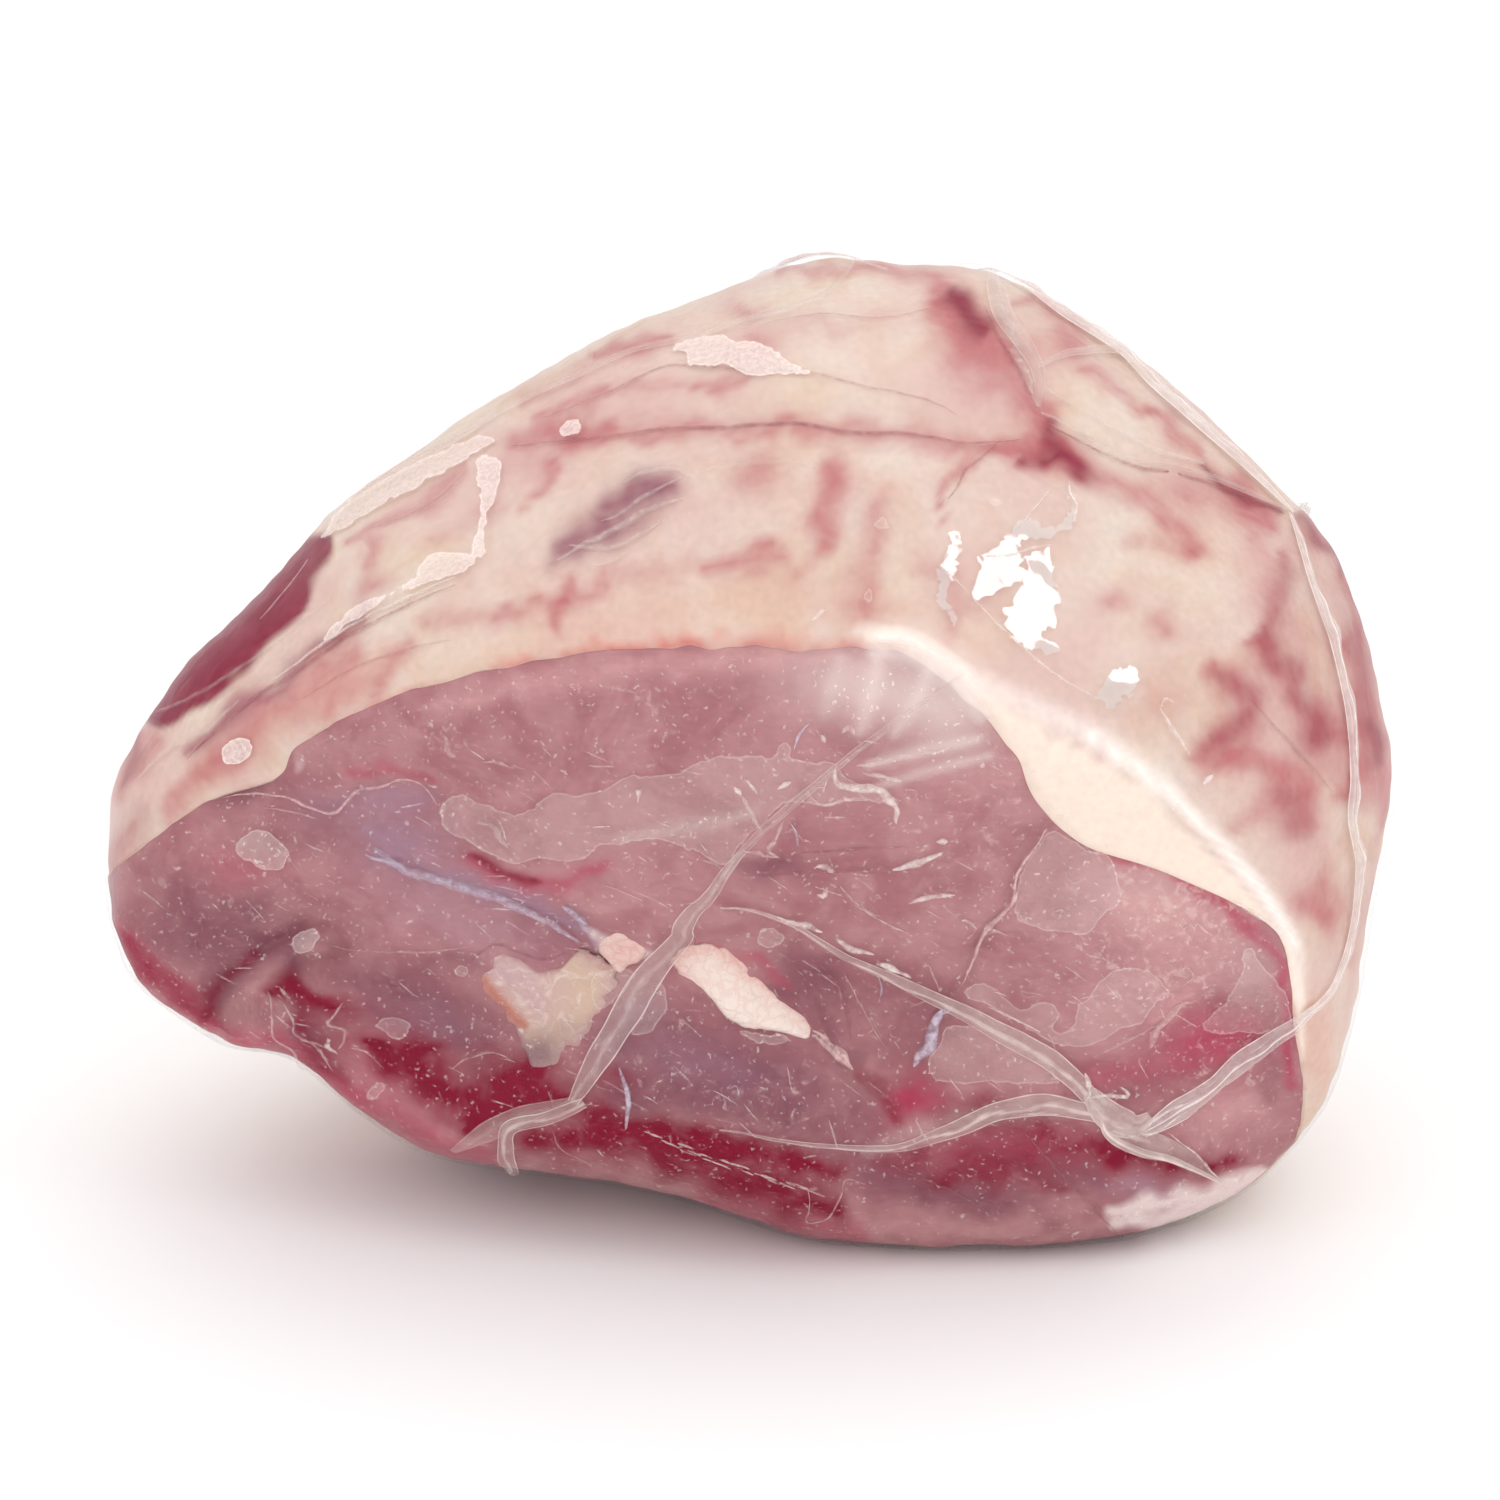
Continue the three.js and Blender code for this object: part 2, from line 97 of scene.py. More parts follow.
def smooth_min(a: np.ndarray, b: np.ndarray, blend: np.ndarray) -> np.ndarray:
    """Takes the smaller of two heights, with the corner between them rounded.

    Args:
        a: One height.
        b: The other height.
        blend: How far the rounding reaches.

    Returns:
        The blended minimum.
    """
    h = np.clip(0.5 + (b - a) / (2.0 * blend), 0.0, 1.0)
    return b + (a - b) * h - blend * h * (1.0 - h)


def catmull_rom(points: Points, closed: bool = False, per_span: int = 16) -> np.ndarray:
    """Runs a smooth curve through points, evenly loose at long and short spans.

    Args:
        points: The points, of any one length each.
        closed: Whether the curve comes back to its first point.
        per_span: Samples from one point to the next.

    Returns:
        One row for each sample.
    """
    p = np.asarray(points, float)
    count = len(p)
    if closed:
        p = np.vstack([p[-1], p, p[0], p[1]])
    else:
        p = np.vstack([2 * p[0] - p[1], p, 2 * p[-1] - p[-2]])
    spans = count if closed else count - 1
    t = np.linspace(0, 1, per_span, endpoint=False)[:, None]
    rows = []
    for i in range(spans):
        a, b, c, d = p[i : i + 4]
        gaps = [max(float(np.linalg.norm(y - x)) ** 0.5, 1e-4) for x, y in ((a, b), (b, c), (c, d))]
        m1 = (c - b) - gaps[1] * ((c - a) / (gaps[0] + gaps[1]) - (b - a) / gaps[0])
        m2 = (c - b) + gaps[1] * ((d - c) / gaps[2] - (d - b) / (gaps[1] + gaps[2]))
        rows.append(
            (2 * t**3 - 3 * t**2 + 1) * b
            + (t**3 - 2 * t**2 + t) * m1
            + (-2 * t**3 + 3 * t**2) * c
            + (t**3 - t**2) * m2
        )
    if not closed:
        rows.append(p[-2][None, :])
    return np.vstack(rows)


def line_distance(u: np.ndarray, v: np.ndarray, line: np.ndarray) -> tuple[np.ndarray, np.ndarray]:
    """Measures how far places are from a line and how far along it their nearest point is.

    Args:
        u: Places across.
        v: Places up.
        line: The line's points, one row each.

    Returns:
        Distances, and shares of the line's length from 0 to 1.
    """
    lengths = np.hypot(*np.diff(line, axis=0).T)
    before = np.concatenate([[0.0], np.cumsum(lengths)])
    best = np.full(np.shape(u), 1e9)
    along = np.zeros(np.shape(u))
    for (au, av), (bu, bv), length, start in zip(line[:-1], line[1:], lengths, before):
        t = np.clip(((u - au) * (bu - au) + (v - av) * (bv - av)) / max(length, 1e-6) ** 2, 0.0, 1.0)
        distance = np.hypot(u - au - t * (bu - au), v - av - t * (bv - av))
        nearer = distance < best
        best = np.where(nearer, distance, best)
        along = np.where(nearer, (start + t * length) / before[-1], along)
    return best, along


def inside(u: np.ndarray, v: np.ndarray, loop: np.ndarray) -> np.ndarray:
    """Says which places lie inside a closed line.

    Args:
        u: Places across.
        v: Places up.
        loop: The line's points, one row each.

    Returns:
        True where a place is inside.
    """
    crossings = np.zeros(np.shape(u), int)
    for (au, av), (bu, bv) in zip(loop, np.roll(loop, -1, axis=0)):
        straddles = (av > v) != (bv > v)
        with np.errstate(divide="ignore", invalid="ignore"):
            cut = au + (v - av) * (bu - au) / (bv - av)
        crossings += straddles & (u < cut)
    return crossings % 2 == 1


@dataclass(frozen=True)
class Crease:
    """A groove in the meat along a line."""

    width: float
    depth: float
    points: Points


@dataclass(frozen=True)
class Swell:
    """A soft swelling, or a hollow where the height is negative."""

    height: float
    at: tuple[float, float]
    reach: tuple[float, float]


@dataclass(frozen=True)
class Stroke:
    """A mark along a line on the skin as the camera sees it: soft in a stain, or a thin strand laid on it."""

    points: Points
    width: float
    strength: float = 1.0

    def cover(self, u: np.ndarray, v: np.ndarray) -> np.ndarray:
        """Gives how much of each seen place the mark covers, from 0 to 1."""
        line = catmull_rom(self.points, per_span=4) if len(self.points) > 2 else np.asarray(self.points, float)
        distance, along = line_distance(u, v, line)
        ends = 1.0 - 0.35 * np.abs(2.0 * along - 1.0) ** 3
        return self.strength * np.exp(-((distance / (self.width * ends)) ** 2))


@dataclass(frozen=True)
class Spot:
    """A soft oval mark on the skin as the camera sees it."""

    at: tuple[float, float]
    reach: tuple[float, float]
    strength: float = 1.0
    turn: float = 0.0

    def cover(self, u: np.ndarray, v: np.ndarray) -> np.ndarray:
        """Gives how much of each seen place the mark covers, from 0 to 1."""
        c, s = math.cos(math.radians(self.turn)), math.sin(math.radians(self.turn))
        du, dv = u - self.at[0], v - self.at[1]
        x, y = (du * c + dv * s) / self.reach[0], (dv * c - du * s) / self.reach[1]
        return self.strength * np.exp(-(x**2) - y**2)


@dataclass(frozen=True)
class Patch:
    """A mark with a crisp outline on the skin as the camera sees it."""

    points: Points
    milk: float = 0.11

    def depth(self, u: np.ndarray, v: np.ndarray) -> np.ndarray:
        """Gives how far inside the outline each seen place is, negative outside."""
        loop = catmull_rom(self.points, closed=True, per_span=3)
        distance, _ = line_distance(u, v, np.vstack([loop, loop[:1]]))
        return np.where(inside(u, v, loop), distance, -distance)


def covered(marks: Sequence[Stroke | Spot], u: np.ndarray, v: np.ndarray) -> np.ndarray:
    """Lays soft marks over each other.

    Args:
        marks: The marks.
        u: Seen places across.
        v: Seen places up.

    Returns:
        The cover at each place, from 0 to 1.
    """
    clear = np.ones(np.shape(u))
    for mark in marks:
        clear *= 1.0 - np.clip(mark.cover(u, v), 0.0, 1.0)
    return 1.0 - clear


@dataclass
class LegForm:
    """The leg's form: the skin as a function of angle and latitude."""

    face_depth: float = 88.0
    back_depth: float = 92.0
    floor_cut: float = 98.5
    floor_softness: float = 4.0
    middle: tuple[float, float] = (-4.0, -36.0)
    cut_height: float = 54.5
    cut_rise: float = 0.75
    cut_tilt: float = 0.115
    cut_bulge: float = 27.0
    cut_middle: tuple[float, float] = (-8.0, -44.0)
    cut_reach: tuple[float, float] = (152.0, 84.0)
    cut_blend: float = 8.0
    cut_least: float = 0.44
    under_reach: float = 0.33
    fat_top: float = 9.0
    fat_right: float = 16.0
    fat_left: float = 8.0
    fat_back: float = 13.0
    fat_feather: float = 15.0
    spine: tuple[tuple[float, float], tuple[float, float]] = ((-52.0, -34.0), (58.0, -22.0))
    outline: Points = (
        (-139.8, -21.9), (-138.5, -7.1), (-131.7, 6.6), (-123, 18.8), (-111.9, 29), (-93.9, 49.1),
        (-85.2, 56.9), (-69.5, 67.3), (-33.8, 89.5), (-10.3, 99.1), (16, 107.2), (32.7, 106.1),
        (51.2, 104.8), (70.2, 95.6), (93.2, 79.1), (117.6, 55.4), (126.9, 44.5), (133.3, 28.2),
        (138.5, 7.1), (140, -7.5), (134.3, -39.3), (132, -54.5), (125, -76.5), (116.3, -87.8),
        (105.6, -96.9), (79.5, -106.5), (20.6, -107.6), (-21.9, -95.8), (-70.6, -87.4), (-84.7, -78.9),
        (-100, -66.7), (-114.1, -63.9), (-123.9, -57.8), (-133, -50.6), (-138.7, -36.7),
    )
    lean_edge: Points = (
        (-140.4, -28.4), (-132.6, -21.9), (-116.3, -11), (-100, -4.5), (-97.1, 0.3), (-83.4, 8.2),
        (-65.2, 14.9), (-29, 21.2), (-9.7, 21.7), (21.9, 21), (30.6, 20.2), (37.5, 17.4),
        (45, 11.8), (51.6, 4.4), (57, -3.8), (61.5, -12.3), (71.3, -20.1), (90.6, -26.9), (108.2, -35.6), (113.9, -41.7),
        (117.4, -61), (119.8, -79.5), (116.5, -89.3), (106.7, -98),
    )
    creases: Sequence[Crease] = (
        Crease(8, 3, ((-117, -9), (-98, -6.5), (-76, -5), (-58, -20), (-38, -22))),
        Crease(8, 3.5, ((-80, -22), (-58, -34), (-26, -47), (0, -47), (34, -73))),
        Crease(7, 1.8, ((63, -15), (58, -30), (41, -58), (34, -73))),
        Crease(8, 9, ((-118, -66), (-109, -50), (-90, -39))),
        Crease(6, 2.2, ((-54, 66), (-22, 69.5), (32, 68), (80, 61), (106, 54))),
        Crease(7, 3.5, ((45, 104), (52, 92), (62, 78), (65, 71))),
        Crease(8, 2.5, ((-128, -4), (-112, 12), (-70, 38), (-56, 44))),
        Crease(4.5, -1.3, ((-27, -45), (-17, -49), (-9, -52), (2, -57), (12, -63))),
        Crease(9, -0.9, ((-56, -49), (-44, -57), (-41, -66))),
    )
    swells: Sequence[Swell] = (
        Swell(4, (0, 2), (70, 17)),
        Swell(4.5, (84, -48), (26, 20)),
        Swell(4, (-2, -78), (48, 17)),
        Swell(5, (-115, -36), (22, 22)),
        Swell(-9, (-68, -67), (26, 14)),
        Swell(-3, (-26, 50), (18, 11)),
        Swell(4, (104, 20), (24, 36)),
    )
    shift: tuple[float, float] = (0.0, 0.0)

    def __post_init__(self) -> None:
        """Works out the outline's radius and the lean's edge by angle, and the leg's place on the table."""
        self._outline_table = self._radius_table(catmull_rom(self.outline, closed=True), closed=True)
        self._edge_table = self._radius_table(catmull_rom(self.lean_edge), closed=False)
        self.shift = self._shift_from_frame()

    def _radius_table(self, line: np.ndarray, closed: bool) -> tuple[np.ndarray, np.ndarray]:
        """Tabulates a clockwise line's radius by its angle round the middle.

        Args:
            line: The line's points.
            closed: Whether it goes all the way round.

        Returns:
            Rising angles and the radius at each.
        """
        du, dv = line[:, 0] - self.middle[0], line[:, 1] - self.middle[1]
        angles = np.unwrap(np.arctan2(dv, du))[::-1]
        radii = np.hypot(du, dv)[::-1]
        if closed:
            turn = 2 * math.pi
            angles = np.concatenate([angles - turn, angles, angles + turn])
            radii = np.concatenate([radii, radii, radii])
        return angles, radii

    def _shift_from_frame(self) -> tuple[float, float]:
        """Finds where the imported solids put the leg's own frame on the table."""
        corners = [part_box(node) for node in ("lean_meat", "fat_cap")]
        low = [min(c[0][i] for c in corners) / MM for i in (0, 1)]
        high = [max(c[1][i] for c in corners) / MM for i in (0, 1)]
        angle, latitude = np.meshgrid(np.linspace(-math.pi, math.pi, 361), np.linspace(0, 2, 161))
        skin = self.skin(angle, latitude)
        return tuple(
            (low[i] + high[i]) / 2 - (skin[..., i].min() + skin[..., i].max()) / 2 for i in (0, 1)
        )

    def outline_radius(self, angle: np.ndarray) -> np.ndarray:
        """Gives the outline's radius at each angle."""
        return np.interp(angle, *self._outline_table)

    def share_out(self, u: np.ndarray, v: np.ndarray) -> np.ndarray:
        """Gives how far out each place lies: 0 in the middle and 1 on the outline."""
        du, dv = u - self.middle[0], v - self.middle[1]
        return np.hypot(du, dv) / self.outline_radius(np.arctan2(dv, du))

    def relief(self, u: np.ndarray, v: np.ndarray) -> np.ndarray:
        """Gives the height of the seams, folds and swellings at each place."""
        height = np.zeros(np.shape(u))
        for crease in self.creases:
            distance, _ = line_distance(u, v, np.asarray(crease.points, float))
            height -= crease.depth * np.exp(-((distance / crease.width) ** 2))
        for swell in self.swells:
            du, dv = (u - swell.at[0]) / swell.reach[0], (v - swell.at[1]) / swell.reach[1]
            height += swell.height * np.exp(-(du**2) - dv**2)
        return height

    def face(self, u: np.ndarray, v: np.ndarray) -> np.ndarray:
        """Gives how far the front of the leg stands out at each place."""
        share = np.minimum(self.share_out(u, v), 1.0)
        dome = self.face_depth * np.sqrt(np.maximum(0.0, 1.0 - share**2.4))
        du, dv = (u - self.cut_middle[0]) / self.cut_reach[0], (v - self.cut_middle[1]) / self.cut_reach[1]
        cut = self.cut_height + self.cut_rise * v + self.cut_tilt * u + self.cut_bulge * (1 - du**2 - dv**2)
        blend = self.cut_blend * np.minimum(1.0, 0.01 + dome / 20.0)
        depth = -smooth_min(-smooth_min(dome, cut, blend), -self.cut_least * dome, blend)
        return depth + self.relief(u, v) * (1.0 - smoothstep(share, 0.9, 1.0))

    def back(self, u: np.ndarray, v: np.ndarray) -> np.ndarray:
        """Gives how far the back of the leg stands out at each place, as a negative depth."""
        share = np.minimum(self.share_out(u, v), 1.0)
        dome = self.back_depth * np.maximum(0.0, 1.0 - share**2.6) ** (1 / 2.2)
        waves = 2.2 * np.sin(u / 31 + 1) * np.cos(v / 26) + 1.6 * np.sin((u + v) / 19)
        return -dome - waves * (1.0 - share**3)

    def set_down(self, u: np.ndarray, v: np.ndarray, w: np.ndarray) -> np.ndarray:
        """Turns places in the leg's own frame into places on the table, in millimetres.

        Args:
            u: Places across.
            v: Places up.
            w: Places out towards the cut face.

        Returns:
            The same places with x, y and z last, pressed flat where they meet the table.
        """
        y = v * math.sin(LEAN_BACK) - w * math.cos(LEAN_BACK)
        z = v * math.cos(LEAN_BACK) + w * math.sin(LEAN_BACK) + self.floor_cut
        k = self.floor_softness
        pressed = np.where(z > k, z, np.where(z < -k, 0.0, (z + k) ** 2 / (4 * k)))
        return np.stack([u + self.shift[0], y + self.shift[1], pressed], axis=-1)

    def plan(self, angle: np.ndarray, latitude: np.ndarray) -> tuple[np.ndarray, np.ndarray, np.ndarray]:
        """Gives u, v and w of places on the skin.

        Args:
            angle: Angles round the middle.
            latitude: Latitudes, from 0 to 2.

        Returns:
            The three places.
        """
        share = np.sin(latitude * math.pi / 2)
        radius = self.outline_radius(angle) * share
        u = self.middle[0] + radius * np.cos(angle)
        v = self.middle[1] + radius * np.sin(angle)
        return u, v, np.where(latitude <= 1.0, self.face(u, v), self.back(u, v))

    def skin(self, angle: np.ndarray, latitude: np.ndarray) -> np.ndarray:
        """Gives places on the skin, set down on the table."""
        return self.set_down(*self.plan(angle, latitude))

    def seen(self, u: np.ndarray, v: np.ndarray, w: np.ndarray) -> tuple[np.ndarray, np.ndarray]:
        """Gives where the camera sees places, on the plane through the outline."""
        closer = CAMERA_DISTANCE / (CAMERA_DISTANCE - w)
        return u * closer, v * closer

    def unseen(self, u: np.ndarray, v: np.ndarray) -> tuple[np.ndarray, np.ndarray]:
        """Gives the places on the face that the camera sees at u and v."""
        real_u, real_v = np.asarray(u, float), np.asarray(v, float)
        for _ in range(4):
            nearer = 1.0 - self.face(real_u, real_v) / CAMERA_DISTANCE
            real_u, real_v = np.asarray(u) * nearer, np.asarray(v) * nearer
        return real_u, real_v

    def lean_latitude(self, angle: np.ndarray) -> np.ndarray:
        """Gives the latitude where the lean ends, at each angle."""
        angles, radii = self._edge_table
        turn = 2 * math.pi
        lifted = angles[0] + np.mod(angle - angles[0], turn)
        share = np.minimum(np.interp(lifted, angles, radii) / self.outline_radius(angle), 1.0)
        past = (lifted - angles[-1]) / (turn - (angles[-1] - angles[0]))
        under = 1.0 + self.under_reach * np.sin(math.pi * np.clip(past, 0, 1)) ** 0.8
        return np.where(lifted <= angles[-1], np.arcsin(share) * 2 / math.pi, under)

    def inner(self, angle: np.ndarray, latitude: np.ndarray, edge: np.ndarray, extra: float) -> np.ndarray:
        """Gives places where lean and fat meet under the skin.

        Args:
            angle: Angles round the middle.
            latitude: Latitudes of the skin over them.
            edge: The latitude where the lean ends, at each angle.
            extra: How much deeper to go than the fat does.

        Returns:
            The places, set down on the table.
        """
        skin = self.skin(angle, latitude)
        (from_u, from_v), (to_u, to_v) = self.spine
        t = np.clip((skin[..., 0] - self.shift[0] - from_u) / (to_u - from_u), 0.0, 1.0)
        spine = self.set_down(lerp(from_u, to_u, t), lerp(from_v, to_v, t), np.full(np.shape(t), -4.0))
        along = np.linalg.norm(self.skin(angle, edge) - skin, axis=-1)
        right, left = np.maximum(0.0, np.cos(angle + 0.45)) ** 2, np.maximum(0.0, -np.cos(angle)) ** 2
        thickness = self.fat_top + (self.fat_right - self.fat_top) * right + (self.fat_left - self.fat_top) * left
        thickness = lerp(thickness, self.fat_back, smoothstep(latitude, 1.0, 1.4))
        thickness = thickness * smoothstep(along, -self.fat_feather * 0.25, self.fat_feather) + extra
        inwards = spine - skin
        inwards /= np.linalg.norm(inwards, axis=-1, keepdims=True)
        return skin + inwards * thickness[..., None]

    def on_map(self, points: Points) -> np.ndarray:
        """Lays points on the skin out flat, as the camera sees them.

        Args:
            points: Seen u and v, and Side.BACK for a point on the back.

        Returns:
            For each point, its latitude in the direction of its angle.
        """
        rows = []
        for u, v, *side in points:
            back = bool(side) and side[0] is Side.BACK
            real_u, real_v = (u, v) if back else self.unseen(u, v)
            latitude = math.asin(min(float(self.share_out(real_u, real_v)), 1.0)) * 2 / math.pi
            angle = math.atan2(real_v - self.middle[1], real_u - self.middle[0])
            reach = 2.0 - latitude if back else latitude
            rows.append((reach * math.cos(angle), reach * math.sin(angle)))
        return np.asarray(rows)

    def over_map(self, rows: np.ndarray, step: float = 0.006) -> tuple[np.ndarray, np.ndarray]:
        """Finds the skin under places on the map.

        Args:
            rows: Places on the map.
            step: How far to look either way for the slope.

        Returns:
            Places on the skin, and the way out of the skin at each.
        """

        def place(dx: float, dy: float) -> np.ndarray:
            """Finds the skin a little way off."""
            x, y = rows[..., 0] + dx, rows[..., 1] + dy
            return self.skin(np.arctan2(y, x), np.hypot(x, y))

        across = place(step, 0) - place(-step, 0)
        up = place(0, step) - place(0, -step)
        normal = np.cross(across, up)
        normal /= np.maximum(np.linalg.norm(normal, axis=-1, keepdims=True), 1e-9)
        return place(0, 0), normal


def grid_normals(grid: np.ndarray) -> np.ndarray:
    """Finds the way out of a skin at every point of a grid of rings and columns.

    Args:
        grid: Places, by ring and column, with the columns going round clockwise.

    Returns:
        Unit vectors, the same shape as the grid.
    """
    round_ = np.roll(grid, -1, axis=1) - np.roll(grid, 1, axis=1)
    outward = np.gradient(grid, axis=0)
    normal = np.cross(round_, outward)
    return normal / np.maximum(np.linalg.norm(normal, axis=-1, keepdims=True), 1e-9)


def add_mesh(name: str, places: np.ndarray, faces: Sequence[Sequence[int]] | np.ndarray) -> bpy.types.Object:
    """Makes a smooth mesh object.

    Args:
        name: The piece's name.
        places: Its points in millimetres.
        faces: Its faces, as rows of point numbers.

    Returns:
        The new object, in the scene.
    """
    mesh = bpy.data.meshes.new(name)
    mesh.from_pydata((np.asarray(places) * MM).tolist(), [], np.asarray(faces).tolist() if isinstance(faces, np.ndarray) else faces)
    mesh.validate()
    mesh.polygons.foreach_set("use_smooth", [True] * len(mesh.polygons))
    mesh.update()
    piece = bpy.data.objects.new(name, mesh)
    bpy.context.scene.collection.objects.link(piece)
    return piece


def put_in_place(piece: bpy.types.Object, finish: bpy.types.Material, node: str) -> bpy.types.Object:
    """Gives a piece its finish, hides the solid that it stands for and puts it in its body."""
    piece.data.materials.append(finish)
    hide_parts(node)
    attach(piece, "root")
    return piece


def store(piece: bpy.types.Object, name: str, values: np.ndarray) -> None:
    """Keeps a number at every point of a piece, for its material to read.

    Args:
        piece: The piece.
        name: What the number is called.
        values: One for each point.
    """
    attribute = piece.data.attributes.new(name, "FLOAT", "POINT")
    attribute.data.foreach_set("value", np.asarray(values, np.float32).ravel())


def ring_faces(rings: int, columns: int, start: int = 0) -> list[tuple[int, ...]]:
    """Joins rings of points, one after the other, into squares.

    Args:
        rings: How many rings.
        columns: Points in each.
        start: The first point's number.

    Returns:
        The faces.
    """
    r, c = np.meshgrid(np.arange(rings - 1), np.arange(columns), indexing="ij")
    a = start + r * columns + c
    b = start + r * columns + (c + 1) % columns
    return np.stack([a, b, b + columns, a + columns], axis=-1).reshape(-1, 4).tolist()


def cap_faces(tip: int, ring: int, columns: int, flip: bool) -> list[tuple[int, ...]]:
    """Closes a ring of points to a tip.

    Args:
        tip: The tip's number.
        ring: The number of the ring's first point.
        columns: Points in the ring.
        flip: Whether the ring comes before the tip.

    Returns:
        The faces.
    """
    pairs = [(ring + c, ring + (c + 1) % columns) for c in range(columns)]
    return [(tip, a, b) if flip else (tip, b, a) for a, b in pairs]


def srgb(colour: str) -> tuple[float, float, float, float]:
    """Turns an sRGB hex colour into linear light."""
    parts = [int(colour[i : i + 2], 16) / 255 for i in (1, 3, 5)]
    linear = [p / 12.92 if p <= 0.04045 else ((p + 0.055) / 1.055) ** 2.4 for p in parts]
    return (*linear, 1.0)


def add_node(tree: bpy.types.NodeTree, kind: str, inputs: dict | None = None, **settings: object) -> bpy.types.Node:
    """Adds a node with its settings and its inputs.

    Args:
        tree: The material's nodes.
        kind: The node's type, without the words every type begins with.
        inputs: By name or number, a value or another node's output.
        settings: Values of the node itself.

    Returns:
        The node.
    """
    node = tree.nodes.new("ShaderNode" + kind)
    for key, value in settings.items():
        setattr(node, key, value)
    for key, value in (inputs or {}).items():
        if isinstance(value, bpy.types.NodeSocket):
            tree.links.new(value, node.inputs[key])
        else:
            node.inputs[key].default_value = value
    return node


def bare_material(name: str) -> tuple[bpy.types.Material, bpy.types.NodeTree]:
    """Makes a material with nothing in it but its output's place."""
    material = bpy.data.materials.new(name)
    material.use_nodes = True
    material.node_tree.nodes.clear()
    return material, material.node_tree


def per_mm(size: float) -> float:
    """Gives the scale of a pattern whose features are size millimetres apart."""
    return 1.0 / (size * MM)


def lay_over(
    tree: bpy.types.NodeTree,
    colour: bpy.types.NodeSocket | tuple,
    amount: bpy.types.NodeSocket,
    tint: str,
    low: float = 0.0,
    high: float = 1.0,
    most: float = 1.0,
) -> bpy.types.NodeSocket:
    """Lays a tint over a colour where an amount is high.

    Args:
        tree: The material's nodes.
        colour: The colour under it.
        amount: What says where the tint goes.
        tint: The tint, as sRGB hex.
        low: The amount where the tint begins.
        high: The amount where it is full.
        most: How much it covers there.

    Returns:
        The new colour.
    """
    share = add_node(tree, "MapRange", {"Value": amount, "From Min": low, "From Max": high, "To Max": most})
    mix = add_node(tree, "Mix", {0: share.outputs["Result"], 6: colour, 7: srgb(tint)}, data_type="RGBA")
    return mix.outputs[2]


FAT_MARKS = ("peach", "rose", "crimson", "purple_and_shade", "salmon", "rim", "band", "loose")
LEAN_MARKS = ("pale", "dusk_and_shade", "purge", "silver", "sinew", "bright", "marble")


